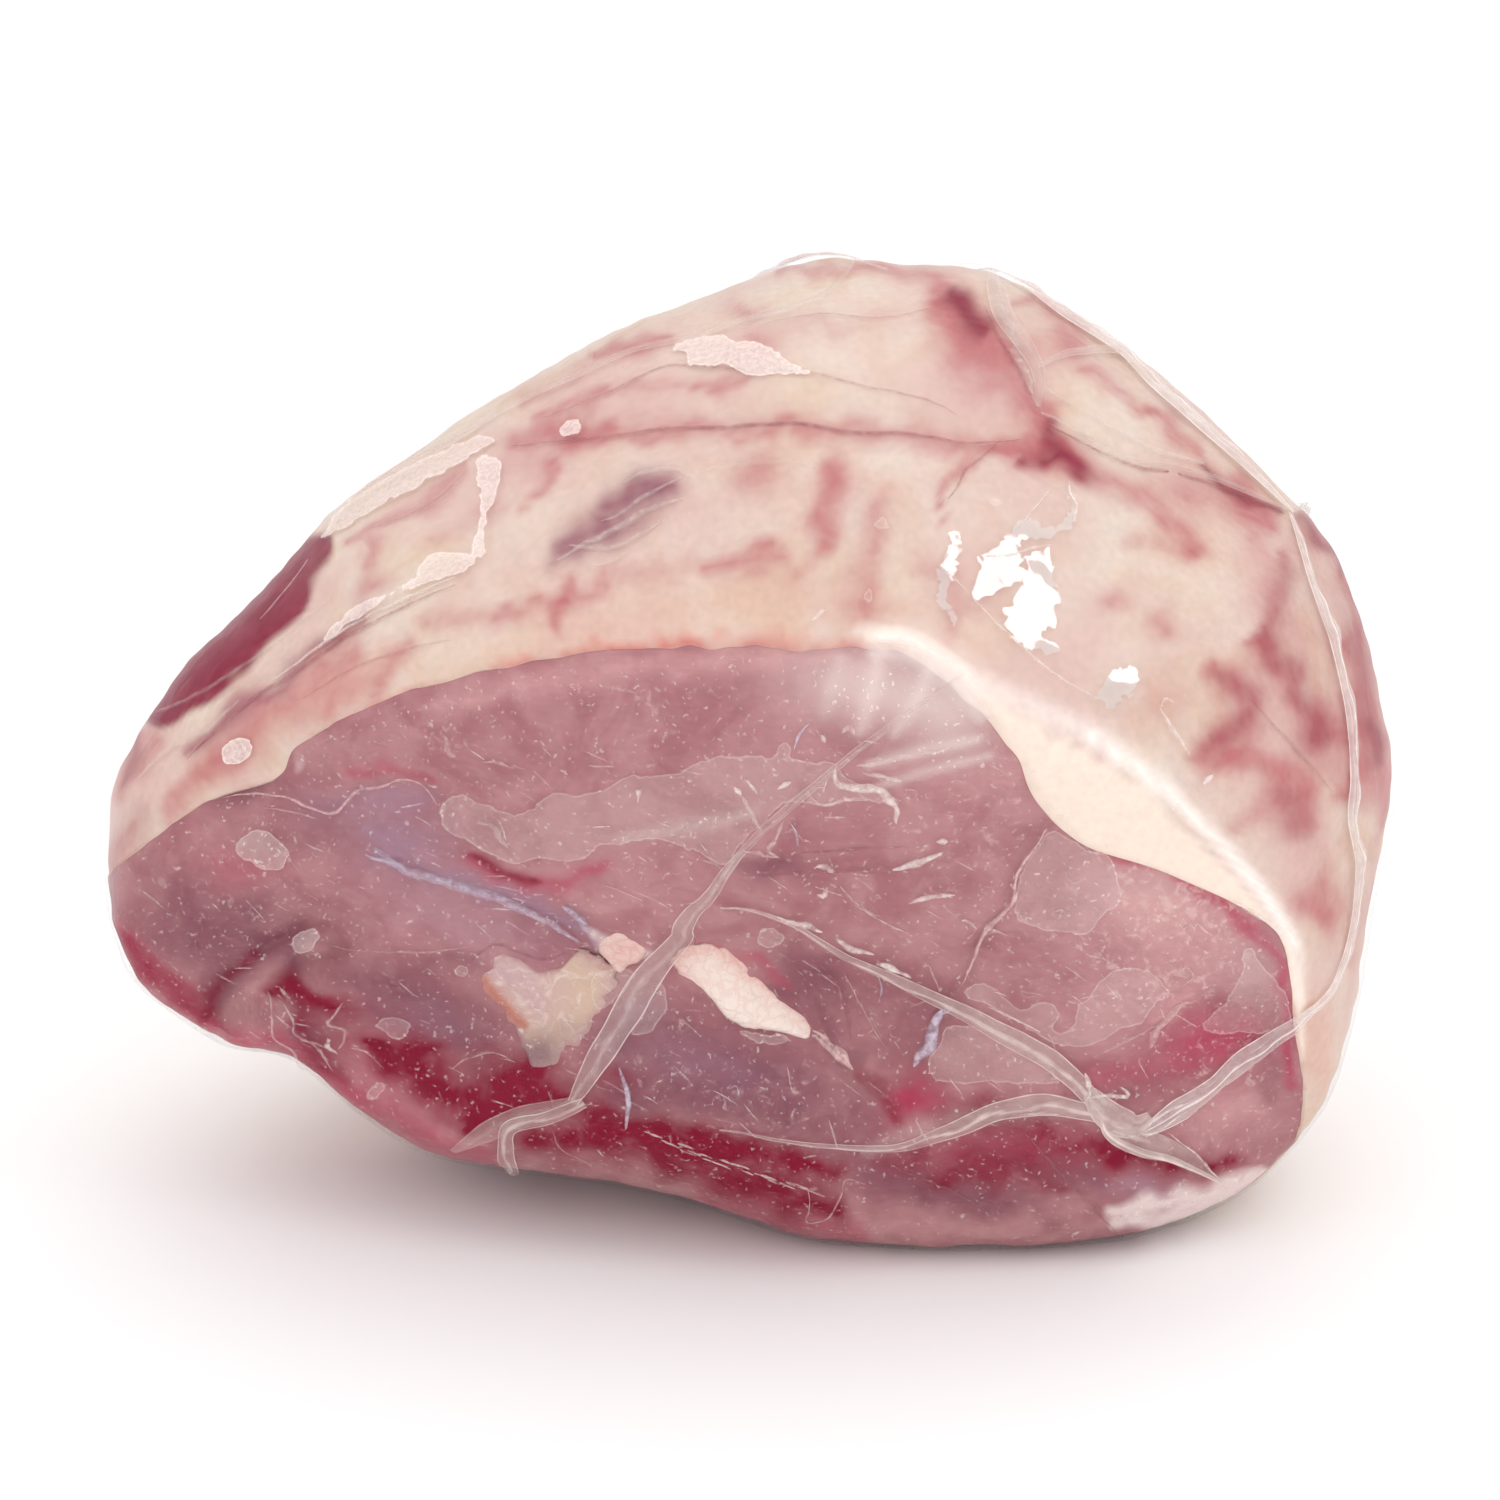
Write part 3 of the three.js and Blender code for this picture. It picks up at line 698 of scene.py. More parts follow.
@dataclass(frozen=True)
class PorkFat:
    """Raw back fat, chilled: firm, waxy and cream, stained rose where blood has soaked in."""

    cream: str = "#decbc0"
    straw: str = "#dec8b3"
    blush: str = "#d9b9b0"
    peach: str = "#dcae9b"
    rose: str = "#bd7374"
    crimson: str = "#85203a"
    thin_blood: str = "#a24a5c"
    # purple_and_shade is purple in the hollow on the top, and painted shade in the valley on the left and down the far
    # left side
    purple_and_shade: str = "#97606c"
    cut_cream: str = "#f6e2d3"
    # rim is a painted highlight: a white line along the corner where the cut face of the fat turns to its side
    rim: str = "#fff5ee"
    salmon: str = "#d98c82"

    def make(self) -> bpy.types.Material:
        """Builds the material from the stains, painted shade and painted rim highlight stored on the piece, and soft
        noise.
        """
        material, tree = bare_material("raw_pork_fat")
        place = add_node(tree, "TexCoord").outputs["Object"]
        stains_and_painted_light = {
            name: add_node(tree, "Attribute", attribute_name=name).outputs["Fac"]
            for name in FAT_MARKS
        }
        # fat sets in soft cream, straw and pink clouds, with finer mottling where blood has soaked between its lobes
        noise = {
            size: add_node(
                tree,
                "TexNoise",
                {
                    "Vector": place, "Scale": per_mm(size), "Detail": detail, "Roughness": 0.55,
                    "Distortion": twist,
                },
            ).outputs["Fac"]
            for size, detail, twist in ((31, 1.0, 0.5), (19, 3.0, 0.7), (7, 2.0, 0.6), (1.8, 2.0, 0.0))
        }
        colour = srgb(self.cream)
        for size, tint in ((19, self.straw), (31, self.blush)):
            colour = lay_over(tree, colour, noise[size], tint, 0.38, 0.66)
        # on the sides that the photo hides, the stains come from noise
        wild = add_node(
            tree, "MapRange", {"Value": noise[19], "From Min": 0.48, "From Max": 0.74, "To Max": 0.75}
        )
        rose = add_node(
            tree,
            "Math",
            {0: wild.outputs["Result"], 1: stains_and_painted_light["loose"], 2: stains_and_painted_light["rose"]},
            operation="MULTIPLY_ADD",
        )
        uneven = add_node(tree, "Math", {0: noise[7], 1: 0.8, 2: 0.6}, operation="MULTIPLY_ADD")
        layers = (
            (stains_and_painted_light["peach"], self.peach, 0.0, 1.0),
            (rose.outputs[0], self.rose, 0.0, 1.05),
            # purple in the hollow, and painted shade
            (stains_and_painted_light["purple_and_shade"], self.purple_and_shade, 0.0, 1.0),
            (stains_and_painted_light["band"], self.cut_cream, 0.1, 0.9),
            (stains_and_painted_light["salmon"], self.salmon, 0.1, 1.0),
        )
        for amount, tint, low, high in layers:
            rough = add_node(tree, "Math", {0: amount, 1: uneven.outputs[0]}, operation="MULTIPLY")
            colour = lay_over(tree, colour, rough.outputs[0], tint, low, high)
        colour = lay_over(tree, colour, stains_and_painted_light["crimson"], self.crimson)
        thin = add_node(tree, "Math", {0: stains_and_painted_light["crimson"], 1: noise[7]}, operation="MULTIPLY")
        colour = lay_over(tree, colour, thin.outputs[0], self.thin_blood, 0.4, 0.75, 0.55)
        # the painted highlight along the rim of the cut fat
        colour = lay_over(tree, colour, stains_and_painted_light["rim"], self.rim)
        grain = add_node(
            tree,
            "MapRange",
            {"Value": noise[1.8], "From Min": 0.3, "From Max": 0.7, "To Min": 0.955, "To Max": 1.045},
        )
        colour = add_node(
            tree, "VectorMath", {0: colour, "Scale": grain.outputs["Result"]}, operation="SCALE"
        ).outputs[0]
        bump = add_node(tree, "Bump", {"Strength": 0.15, "Distance": 0.3 * MM, "Height": noise[1.8]})
        # the film lies wet on the fat, so the fat has almost no gloss of its own
        shader = add_node(
            tree,
            "BsdfPrincipled",
            {
                "Base Color": colour, "Roughness": 0.5, "IOR": 1.44, "Specular IOR Level": 0.08,
                "Normal": bump.outputs[0],
            },
        )
        add_node(tree, "OutputMaterial", {"Surface": shader.outputs[0]})
        return material


@dataclass(frozen=True)
class RawLean:
    """Raw lean pork, cut: moist muscle with fine fibres, greyed a little by the vacuum."""

    muscle: str = "#b68386"
    deep: str = "#a46c72"
    # pale is lighter muscle, with a painted sheen on the top right of the upper muscle and a painted highlight along
    # the ridge of the heel
    pale: str = "#d09c9c"
    # dusk_and_shade is duskier muscle, and painted shade along the creases and the folds of the heel
    dusk_and_shade: str = "#804c58"
    purge: str = "#831330"
    silver: str = "#a27b8b"
    sinew: str = "#e6d2cf"
    bright: str = "#b0405a"
    speck: str = "#e2c3bd"

    def make(self) -> bpy.types.Material:
        """Builds the material from the zones stored on the piece, and fibres."""
        material, tree = bare_material("raw_lean_pork")
        place = add_node(tree, "TexCoord").outputs["Object"]
        zone = {
            name: add_node(tree, "Attribute", attribute_name=name).outputs["Fac"]
            for name in LEAN_MARKS
        }
        # fibre bundles about 1 mm thick run along the leg and read as faint streaks
        along = add_node(
            tree, "Mapping", {"Vector": place, "Rotation": (0.0, 0.12, 0.0), "Scale": (0.3, 1.0, 1.0)}
        )
        noise = {
            size: add_node(
                tree,
                "TexNoise",
                {
                    "Vector": where, "Scale": per_mm(size), "Detail": detail, "Roughness": 0.6,
                    "Distortion": twist,
                },
            ).outputs["Fac"]
            for size, where, detail, twist in (
                (1.2, along.outputs[0], 4.0, 0.8),
                (17, place, 3.0, 0.8),
                (5, place, 4.0, 0.5),
                (2.6, place, 3.0, 0.6),
            )
        }
        tone = add_node(
            tree,
            "MapRange",
            {"Value": noise[17], "From Min": 0.36, "From Max": 0.64},
            interpolation_type="SMOOTHSTEP",
        )
        colour = add_node(
            tree,
            "Mix",
            {0: tone.outputs["Result"], 6: srgb(self.muscle), 7: srgb(self.deep)},
            data_type="RGBA",
        ).outputs[2]
        layers = (
            # lighter muscle, and painted sheen and highlight
            (zone["pale"], self.pale, 0.0, 1.0),
            # duskier muscle, and painted shade in the creases and folds
            (zone["dusk_and_shade"], self.dusk_and_shade, 0.0, 1.0),
            (zone["silver"], self.silver, 0.0, 1.0),
            (zone["bright"], self.bright, 0.0, 1.0),
            (zone["purge"], self.purge, 0.05, 0.9),
            (zone["sinew"], self.sinew, 0.15, 0.95),
        )
        uneven = add_node(tree, "Math", {0: noise[5], 1: 1.2, 2: 0.4}, operation="MULTIPLY_ADD")
        for amount, tint, low, high in layers:
            rough = add_node(tree, "Math", {0: amount, 1: uneven.outputs[0]}, operation="MULTIPLY")
            colour = lay_over(tree, colour, rough.outputs[0], tint, low, high)
        # specks and threads of fat a millimetre or two across, thick in some muscles and rare in others
        level = add_node(tree, "Math", {0: zone["marble"], 1: 0.17, 2: noise[2.6]}, operation="MULTIPLY_ADD")
        speck = add_node(
            tree,
            "MapRange",
            {"Value": level.outputs[0], "From Min": 0.62, "From Max": 0.84, "To Max": 0.5},
            interpolation_type="SMOOTHSTEP",
        )
        colour = add_node(
            tree, "Mix", {0: speck.outputs["Result"], 6: colour, 7: srgb(self.speck)}, data_type="RGBA"
        ).outputs[2]
        streak = add_node(
            tree,
            "MapRange",
            {"Value": noise[1.2], "From Min": 0.3, "From Max": 0.7, "To Min": 0.94, "To Max": 1.06},
        )
        colour = add_node(
            tree, "VectorMath", {0: colour, "Scale": streak.outputs["Result"]}, operation="SCALE"
        ).outputs[0]
        bump = add_node(tree, "Bump", {"Strength": 0.1, "Distance": 0.3 * MM, "Height": noise[5]})
        # the film lies wet on the meat, so the meat has almost no gloss of its own
        shader = add_node(
            tree,
            "BsdfPrincipled",
            {
                "Base Color": colour, "Roughness": 0.45, "IOR": 1.38, "Specular IOR Level": 0.08,
                "Normal": bump.outputs[0],
            },
        )
        add_node(tree, "OutputMaterial", {"Surface": shader.outputs[0]})
        return material


@dataclass(frozen=True)
class ShrinkFilm:
    """Clear multilayer shrink film, 0.06 mm: glossy, finely wrinkled, milky where air lies under it."""

    milk: str = "#ffefe9"
    shore: float = 0.18
    dry: float = 0.32
    wet: float = 0.01
    rim: float = 0.35

    def make(self) -> bpy.types.Material:
        """Builds the material from the air stored on the piece, and wrinkles."""
        material, tree = bare_material("clear_shrink_film")
        place = add_node(tree, "TexCoord").outputs["Object"]
        air, veil, dry, milk_here, cut = (
            add_node(tree, "Attribute", attribute_name=name).outputs["Fac"]
            for name in ("air", "veil", "dry", "milk", "cut")
        )
        rag, crumb, wrinkle = (
            add_node(
                tree,
                "TexNoise",
                {
                    "Vector": place, "Scale": per_mm(size), "Detail": detail, "Roughness": 0.6,
                    "Distortion": twist,
                },
            ).outputs["Fac"]
            for size, detail, twist in ((4.5, 2.0, 0.4), (1.1, 2.0, 0.4), (9, 2.0, 0.0))
        )
        # where air lies under it the film is a faint milky veil, whiter in a line along its shore
        masks = []
        for name, depth, ragged in (("air", air, 2.6), ("dry", dry, 6.0)):
            torn = add_node(tree, "Math", {0: rag, 1: ragged, 2: -ragged / 2}, operation="MULTIPLY_ADD")
            torn_depth = add_node(tree, "Math", {0: depth, 1: torn.outputs[0]}, operation="ADD")
            masks.append(torn_depth.outputs[0])
        pocket, dry_mask, shore = (
            add_node(
                tree,
                "MapRange",
                {"Value": mask, "From Min": low, "From Max": high, "To Max": top},
                interpolation_type="SMOOTHSTEP",
            ).outputs["Result"]
            for mask, low, high, top in (
                (masks[0], -0.1, 0.25, 1.0),
                (masks[1], -0.1, 0.3, self.dry),
                (masks[0], 0.55, 0.1, self.shore),
            )
        )
        patchy = add_node(
            tree,
            "MapRange",
            {"Value": crumb, "From Min": 0.3, "From Max": 0.7, "To Min": 0.75, "To Max": 1.25},
        )
        # lint and pin-head bubbles show over the lean
        dots = add_node(tree, "MapRange", {"Value": crumb, "From Min": 0.63, "From Max": 0.7, "To Max": 0.3})
        # the veil is milky film, and over the top right of the lean a painted sheen and highlight
        hazy = add_node(
            tree, "Math", {0: dots.outputs["Result"], 1: cut, 2: veil}, operation="MULTIPLY_ADD"
        ).outputs[0]
        milk = add_node(
            tree, "Math", {0: patchy.outputs["Result"], 1: milk_here, 2: shore}, operation="MULTIPLY_ADD"
        )
        haze = add_node(
            tree, "Math", {0: milk.outputs[0], 1: pocket, 2: hazy}, operation="MULTIPLY_ADD", use_clamp=True
        )
        bump = add_node(tree, "Bump", {"Strength": 0.5, "Distance": 0.9 * MM, "Height": wrinkle})
        clear = add_node(tree, "BsdfTransparent")
        milky = add_node(tree, "BsdfDiffuse", {"Color": srgb(self.milk), "Normal": bump.outputs[0]})
        body = add_node(tree, "MixShader", {0: haze.outputs[0], 1: clear.outputs[0], 2: milky.outputs[0]})
        gloss = add_node(tree, "BsdfGlossy", {"Roughness": 0.08, "Normal": bump.outputs[0]})
        # wet on the meat it mirrors little; a dry patch mirrors from both its faces
        facing = add_node(tree, "LayerWeight", {"Blend": 0.5, "Normal": bump.outputs[0]}).outputs["Facing"]
        graze = add_node(tree, "Math", {0: facing, 1: 5.0}, operation="POWER")
        wet = add_node(
            tree, "Math", {0: graze.outputs[0], 1: self.rim, 2: self.wet}, operation="MULTIPLY_ADD"
        )
        mirror = add_node(tree, "Math", {0: wet.outputs[0], 1: dry_mask}, operation="ADD", use_clamp=True)
        mixed = add_node(tree, "MixShader", {0: mirror.outputs[0], 1: body.outputs[0], 2: gloss.outputs[0]})
        add_node(tree, "OutputMaterial", {"Surface": mixed.outputs[0]})
        return material


@dataclass(frozen=True)
class Ripple:
    """Soft random waves of about one size, the same on each run."""

    size: float
    seed: int
    waves: int = 14

    def at(self, x: np.ndarray, y: np.ndarray) -> np.ndarray:
        """Gives the waves' height at each place, mostly between -1 and 1."""
        random = np.random.default_rng(SEED * 100 + self.seed)
        total = np.zeros(np.broadcast(x, y).shape)
        for _ in range(self.waves):
            heading = random.uniform(0, 2 * math.pi)
            pace = 2 * math.pi / (self.size * random.uniform(0.6, 1.7))
            start = random.uniform(0, 2 * math.pi)
            total += np.sin(pace * (x * math.cos(heading) + y * math.sin(heading)) + start)
        return total * math.sqrt(2.0 / self.waves) * 0.55


@dataclass
class Skin:
    """The grid of places that the meat and the film share."""

    form: LegForm
    columns: int = 720
    face_rings: int = 118
    back_rings: int = 110
    lift: float = 0.4  # leaves room for the film between meat and table
    gap: float = 0.15  # between lean and fat
    ragged: float = 0.0032  # how far the lean's edge strays, in latitude

    def __post_init__(self) -> None:
        """Lays the columns at even steps along the outline and finds where the lean ends on each."""
        line = catmull_rom(self.form.outline, closed=True)
        line = np.vstack([line, line[:1]])
        along = np.concatenate([[0.0], np.cumsum(np.hypot(*np.diff(line, axis=0).T))])
        even = np.linspace(0, along[-1], self.columns, endpoint=False)
        u, v = np.interp(even, along, line[:, 0]), np.interp(even, along, line[:, 1])
        self.angle = np.arctan2(v - self.form.middle[1], u - self.form.middle[0])
        self.edge = self.form.lean_latitude(self.angle) + self.ragged * Ripple(18, 9, 24).at(u, v)
        reach = self.columns // 14
        window = np.ones(2 * reach + 1) / (2 * reach + 1)
        self.smooth_edge = np.convolve(np.concatenate([self.edge[-reach:], self.edge, self.edge[:reach]]), window, "valid")

    def places(self, latitude: np.ndarray) -> np.ndarray:
        """Gives places on the skin for a grid of latitudes by ring and column."""
        return self.form.skin(self.angle[None, :], latitude)

    def seen(self, latitude: np.ndarray) -> tuple[np.ndarray, np.ndarray, np.ndarray]:
        """Gives where the camera sees the grid, and how much the marks of the face count there.

        Args:
            latitude: Latitudes by ring and column.

        Returns:
            Seen places across and up, and weights from 0 to 1.
        """
        u, v, w = self.form.plan(self.angle[None, :], latitude)
        seen_u, seen_v = self.form.seen(u, v, np.maximum(w, 0.0))
        ragged = 0.03 * Ripple(24, 8).at(seen_u + seen_v, 90 * latitude)
        return seen_u, seen_v, 1.0 - smoothstep(latitude + ragged, 0.99, 1.12)

    def back_latitudes(self, rings: int) -> np.ndarray:
        """Gives the latitudes of rings that run from the lean's edge to the middle of the back."""
        share = np.arange(rings)[:, None] / rings
        return lerp(lerp(self.edge, self.smooth_edge, np.minimum(1.0, 2.0 * share)), 2.0, share)

    def face_latitudes(self) -> np.ndarray:
        """Gives the latitude of every ring of the lean, by ring and column."""
        share = (np.arange(1, self.face_rings + 1)[:, None] / self.face_rings) ** 0.9
        return share * lerp(self.smooth_edge, self.edge, share**4)


def closed_piece(name: str, first: np.ndarray, rings: np.ndarray, last: np.ndarray | None) -> bpy.types.Object:
    """Makes a piece from a tip, rings of points and, if it is closed, another tip.

    Args:
        name: The piece's name.
        first: The tip before the first ring.
        rings: Places by ring and column.
        last: The tip after the last ring, or None for an open end.

    Returns:
        The new object.
    """
    count, columns = rings.shape[:2]
    places = [np.reshape(first, (1, 3)), rings.reshape(-1, 3)]
    faces = cap_faces(0, 1, columns, flip=False) + ring_faces(count, columns, start=1)
    if last is not None:
        places.append(np.reshape(last, (1, 3)))
        faces += cap_faces(1 + count * columns, 1 + (count - 1) * columns, columns, flip=True)
    return add_mesh(name, np.vstack(places), faces)


def tip_value(values: np.ndarray) -> float:
    """Gives the value of a tip from the ring round it."""
    return float(np.mean(values))


@dataclass
class LeanMeat:
    """The lean: muscle bellies, the skins between them and the juice that has run from them."""

    skin: Skin
    inner_rings: int = 8
    fine_creases: Sequence[Crease] = (
        Crease(1.6, 0.9, ((-115, -11), (-101.5, -9), (-95.5, -12.5), (-88.5, -12.5), (-84.5, -8), (-78, -7), (-71, -7.5), (-68, -12.5))),
        Crease(2.4, 1.0, ((-68, -12.5), (-63, -22), (-55.5, -26.5), (-48, -29.5), (-38, -30.5))),
        Crease(2.0, 0.9, ((-76, -26), (-68, -30.5), (-54.5, -35), (-41.5, -39.5), (-32.5, -46), (-19.5, -48.5))),
        Crease(1.6, 0.9, ((65, -16), (58.5, -26), (54.5, -36), (49, -44), (46, -51), (39.5, -61), (34, -74))),
        Crease(2.0, 1.2, ((-11, -55.5), (0, -62), (14.5, -66), (24, -71), (32.5, -76.5))),
        Crease(2.6, 1.6, ((-115, -61), (-111.5, -52.5), (-105, -47), (-98, -43), (-91, -41.5))),
        Crease(2.0, 1.1, ((-106, -54), (-101, -57), (-93.5, -59.5), (-87, -64.5), (-80.5, -65.5))),
        Crease(2.2, 1.2, ((-41, -81.5), (-21.5, -83), (2.5, -87), (26, -89.5), (50, -83), (72, -76.5))),
        Crease(2.2, 0.9, ((66.5, -71.5), (76.5, -69.5), (85.5, -66), (91.5, -59.5), (99, -56.5), (109, -57))),
        Crease(1.5, 0.5, ((-1, -25), (11, -24.5), (26, -27), (39.5, -27.5))),
        Crease(1.4, 0.5, ((-11, 11), (6.5, 4), (24, 1))),
        Crease(1.8, 0.7, ((-24, -56.5), (-11, -63), (2.5, -71), (17.5, -74))),
        Crease(1.6, 0.6, ((-41, -55.5), (-44, -61), (-50, -69.5))),
        Crease(1.8, 0.7, ((43.5, -85), (56.5, -91.5), (69.5, -98), (78.5, -103))),
    )
    # lighter muscle, with a painted sheen on the top right of the upper muscle and a painted highlight along the ridge
    # of the heel
    pale: Sequence[Stroke | Spot] = (
        Spot((90, -36), (19, 12), 0.8, -20),
        Spot((80, -56), (16, 8), 0.45, 20),
        Stroke(((87, -59.5), (92, -56.5), (96, -54.5)), 2.0, 0.8),
        # painted sheen on the top right of the upper muscle
        Spot((46, -4), (14, 10), 0.5),
        Spot((30, 11), (20, 6), 0.5, -8),
        Stroke(((-67, 10), (-50, 14), (-32, 17), (3, 20), (29, 18)), 3.4, 0.55),
        Spot((-32, -34), (8, 4), 0.5),
        Stroke(((-91, -70), (-81, -73), (-72, -79), (-65, -85)), 2.4, 0.35),
        # painted highlight along the ridge of the heel
        Stroke(((-94, -43), (-101.5, -47.5), (-108.5, -52.5), (-113, -57), (-115, -61)), 1.5, 0.7),
        Spot((106, -78), (10, 7), 0.6),
        Stroke(((24, -104), (50, -105), (77, -103)), 2.4, 0.4),
        Spot((-108, -62), (7, 2.5), 0.4),
    )
    # duskier muscle, and painted shade along the creases and the folds of the heel
    dusk_and_shade: Sequence[Stroke | Spot] = (
        Spot((-118, -40), (17, 9), 0.8, 14),
        Spot((-126, -30), (10, 6), 0.5),
        Stroke(((-111, -51), (-115, -57), (-115, -61)), 2.4, 0.6),
        Spot((-78, -52), (15, 7), 0.75, -8),
        Spot((-68, -61), (18, 8), 0.85, -18),
        Spot((-54, -72), (9, 6), 0.6),
        Spot((14, -51), (11, 8), 0.75, -25),
        Spot((4, -26), (7, 2.4), 0.8),
        Spot((-4, -68), (26, 9), 0.8, -16),
        Spot((-24, -76), (14, 6), 0.8),
        Spot((9, -80), (26, 6), 0.6, -6),
        Spot((40, -94), (26, 6), 0.8, -12),
        Stroke(((-100, -46), (-99, -54), (-96, -63), (-91, -70)), 4.0, 0.8),
        Stroke(((-100, -40), (-108, -45), (-115, -50), (-118, -56)), 3.4, 0.95),
        Spot((-112, -9), (11, 3), 0.6, 10),
        Spot((-2, -73), (20, 6), 0.5, -6),
        Spot((-24, -64), (10, 9), 0.5),
        Stroke(((53, -87), (66, -90), (76, -93)), 4.0, 0.7),
        Stroke(((24, -93), (40, -97), (57, -99)), 3.0, 0.5),
        Stroke(((103, -56), (112, -63), (113, -74)), 5.0, 0.45),
        Spot((37, -56), (12, 8), 0.4),
        Spot((-94, -18), (16, 5), 0.5),
        Spot((-41, -38), (9, 4), 0.4, -25),
        Stroke(((-54.5, -51), (-61, -46), (-69.5, -46)), 2.0, 0.5),
        Stroke(((2.5, -51), (11, -54.5), (17.5, -63), (24, -68.5)), 2.2, 0.5),
        Spot((87, -72), (14, 5), 0.4, 14),
        Spot((0, -74), (16, 5), 0.35, -8),
        Spot((-24, -61), (8, 5), 0.5),
        Spot((54, -90), (14, 5), 0.6, -8),
        Spot((-114, -36), (12, 8), 0.35),
        Spot((-97, -63), (8, 6), 0.4),
    )
    purge: Sequence[Stroke | Spot] = (
        Stroke(((-84, -65), (-77, -67), (-69, -64)), 3.6, 1.0),
        Stroke(((-76, -68), (-69, -73), (-62, -77), (-58, -81)), 5.0, 1.0),
        Stroke(((-62, -83), (-54, -78), (-48, -73)), 2.6, 0.9),
        Stroke(((-48, -85), (-36, -85), (-24, -87), (-11, -91), (5, -96), (18, -100)), 5.4, 0.88),
        Stroke(((-34, -82), (-15, -85), (3, -89), (18, -92)), 3.4, 0.9),
        Stroke(((-105, -52.5), (-101, -50.5), (-95.5, -54), (-91.5, -56.5)), 2.2, 0.9),
        Stroke(((-107.5, -45), (-113.5, -49.5), (-118, -54.5), (-120, -59.5)), 2.0, 0.6),
        Stroke(((-101, -50), (-98, -59), (-94, -67), (-89, -72)), 3.0, 0.5),
        Spot((-50, -73), (9, 7), 1.0),
        Spot((-48.5, -73.5), (9, 5), 0.6),
        Stroke(((28.5, -89), (46, -90.5), (65.5, -87.5)), 5, 0.35),
        Spot((-50, -73), (6, 5), 0.5),
        Stroke(((-41, -76), (-50, -78), (-58, -80)), 3.0, 0.5),
        Stroke(((-41, -75), (-37, -78), (-28, -80)), 2.4, 0.7),
        Stroke(((41, -81), (58, -80), (69, -85), (79, -89)), 4.4, 0.75),
        Stroke(((79, -87), (90, -90), (100, -91)), 3.4, 0.9),
        Spot((104, -90), (3.5, 2.8), 0.9),
        Stroke(((42, -93), (55, -92), (68, -96)), 3.4, 0.5),
        Stroke(((-61, -23.5), (-54.5, -26.5), (-48, -29.5)), 1.6, 0.7),
        Spot((-92, -56), (6, 3), 0.7, -20),
        Stroke(((-137, -41), (-130, -49), (-123, -54), (-118, -58)), 3.2, 0.5),
        Stroke(((24, -71), (30, -75), (33, -80)), 2.4, 0.5),
        Spot((-30, -72), (5, 3), 0.5),
    )
    silver: Sequence[Stroke | Spot] = (
        Stroke(((-84, -10), (-77, -11), (-70, -11)), 2.8, 0.6),
        Stroke(((-82, -17), (-78, -23), (-69, -27), (-54, -32), (-41, -37), (-34, -42)), 2.6, 1.0),
        Spot((-76, -20), (12, 8), 0.8, -30),
        Spot((-92, -12), (9, 3), 0.5),
        Spot((-61, -38), (22, 6), 0.4, -14),
        Spot((-24, -56), (5, 3), 0.5),
        Spot((87, -96), (9, 3), 0.7, -10),
        Spot((-70, -59), (9, 5), 0.4, -14),
        Spot((-11, -68), (16, 5), 0.35, -16),
    )
    sinew: Sequence[Stroke | Spot] = (
        Stroke(((-34.5, -40.5), (-29.5, -43), (-22.5, -45.5)), 1.8, 0.9),
        Stroke(((79, -101), (84, -100), (89, -98), (96, -98), (104, -96), (112, -92)), 2.6, 1.0),
        Stroke(((80, -103.5), (87, -102.5), (96, -100.5), (104.5, -97.5)), 2.2, 1.0),
        Spot((-98, -3), (2, 2.6), 0.5),
    )
    marble: Sequence[Stroke | Spot] = (
        Spot((94, -32), (20, 14), 1.0, -20),
        Spot((87, -50), (22, 10), 0.8),
        Spot((50, -18), (16, 18), 0.45),
        Spot((-41, -46), (18, 5), 0.4),
        Spot((-68, 2), (9, 4), 0.8),
        Spot((-84, 2), (5, 3), 0.5),
        Spot((-2, -72), (26, 8), 0.5, -10),
        Spot((-113, -32), (16, 9), 0.4),
        Spot((-28, 11), (20, 3), 0.5),
        Spot((104, -74), (12, 12), 0.6),
    )
    bright: Sequence[Stroke | Spot] = (
        Spot((36, -76), (6, 4.4), 1.0),
        Stroke(((76.5, -24), (91.5, -26.5), (103, -34.5), (110, -39.5), (116.5, -51.5), (117.5, -63), (119, -74)), 1.8, 0.75),
        Spot((99, -64), (13, 7), 0.75, 20),
        Spot((80, -71), (10, 3), 0.5, 10),
        Stroke(((-32.5, -26), (-41, -29.5), (-50, -29.5), (-61, -24.5)), 2.2, 0.6),
        Stroke(((-88, -5.5), (-77, -4), (-69.5, -7)), 2.0, 0.5),
        Stroke(((-13, -43), (-2, -45.5), (9, -50)), 1.6, 0.5),
        Stroke(((-137, -39), (-132, -47), (-124, -54), (-116, -61)), 3.0, 0.7),
        Stroke(((-113, -63), (-106, -63), (-100, -65), (-87, -76)), 2.6, 0.6),
        Stroke(((-87, -75), (-76, -80), (-65, -86), (-54, -90)), 3.4, 0.45),
        Stroke(((-11, -97), (7, -103), (24, -106)), 3.0, 0.4),
        Spot((54, -87), (22, 5), 0.5),
        Spot((-111, -26), (9, 4), 0.4),
        Spot((-78, -68), (16, 8), 0.5, -25),
        Spot((106, -63), (8, 5), 0.5),
        Spot((4, -97), (12, 3), 0.5, -18),
    )

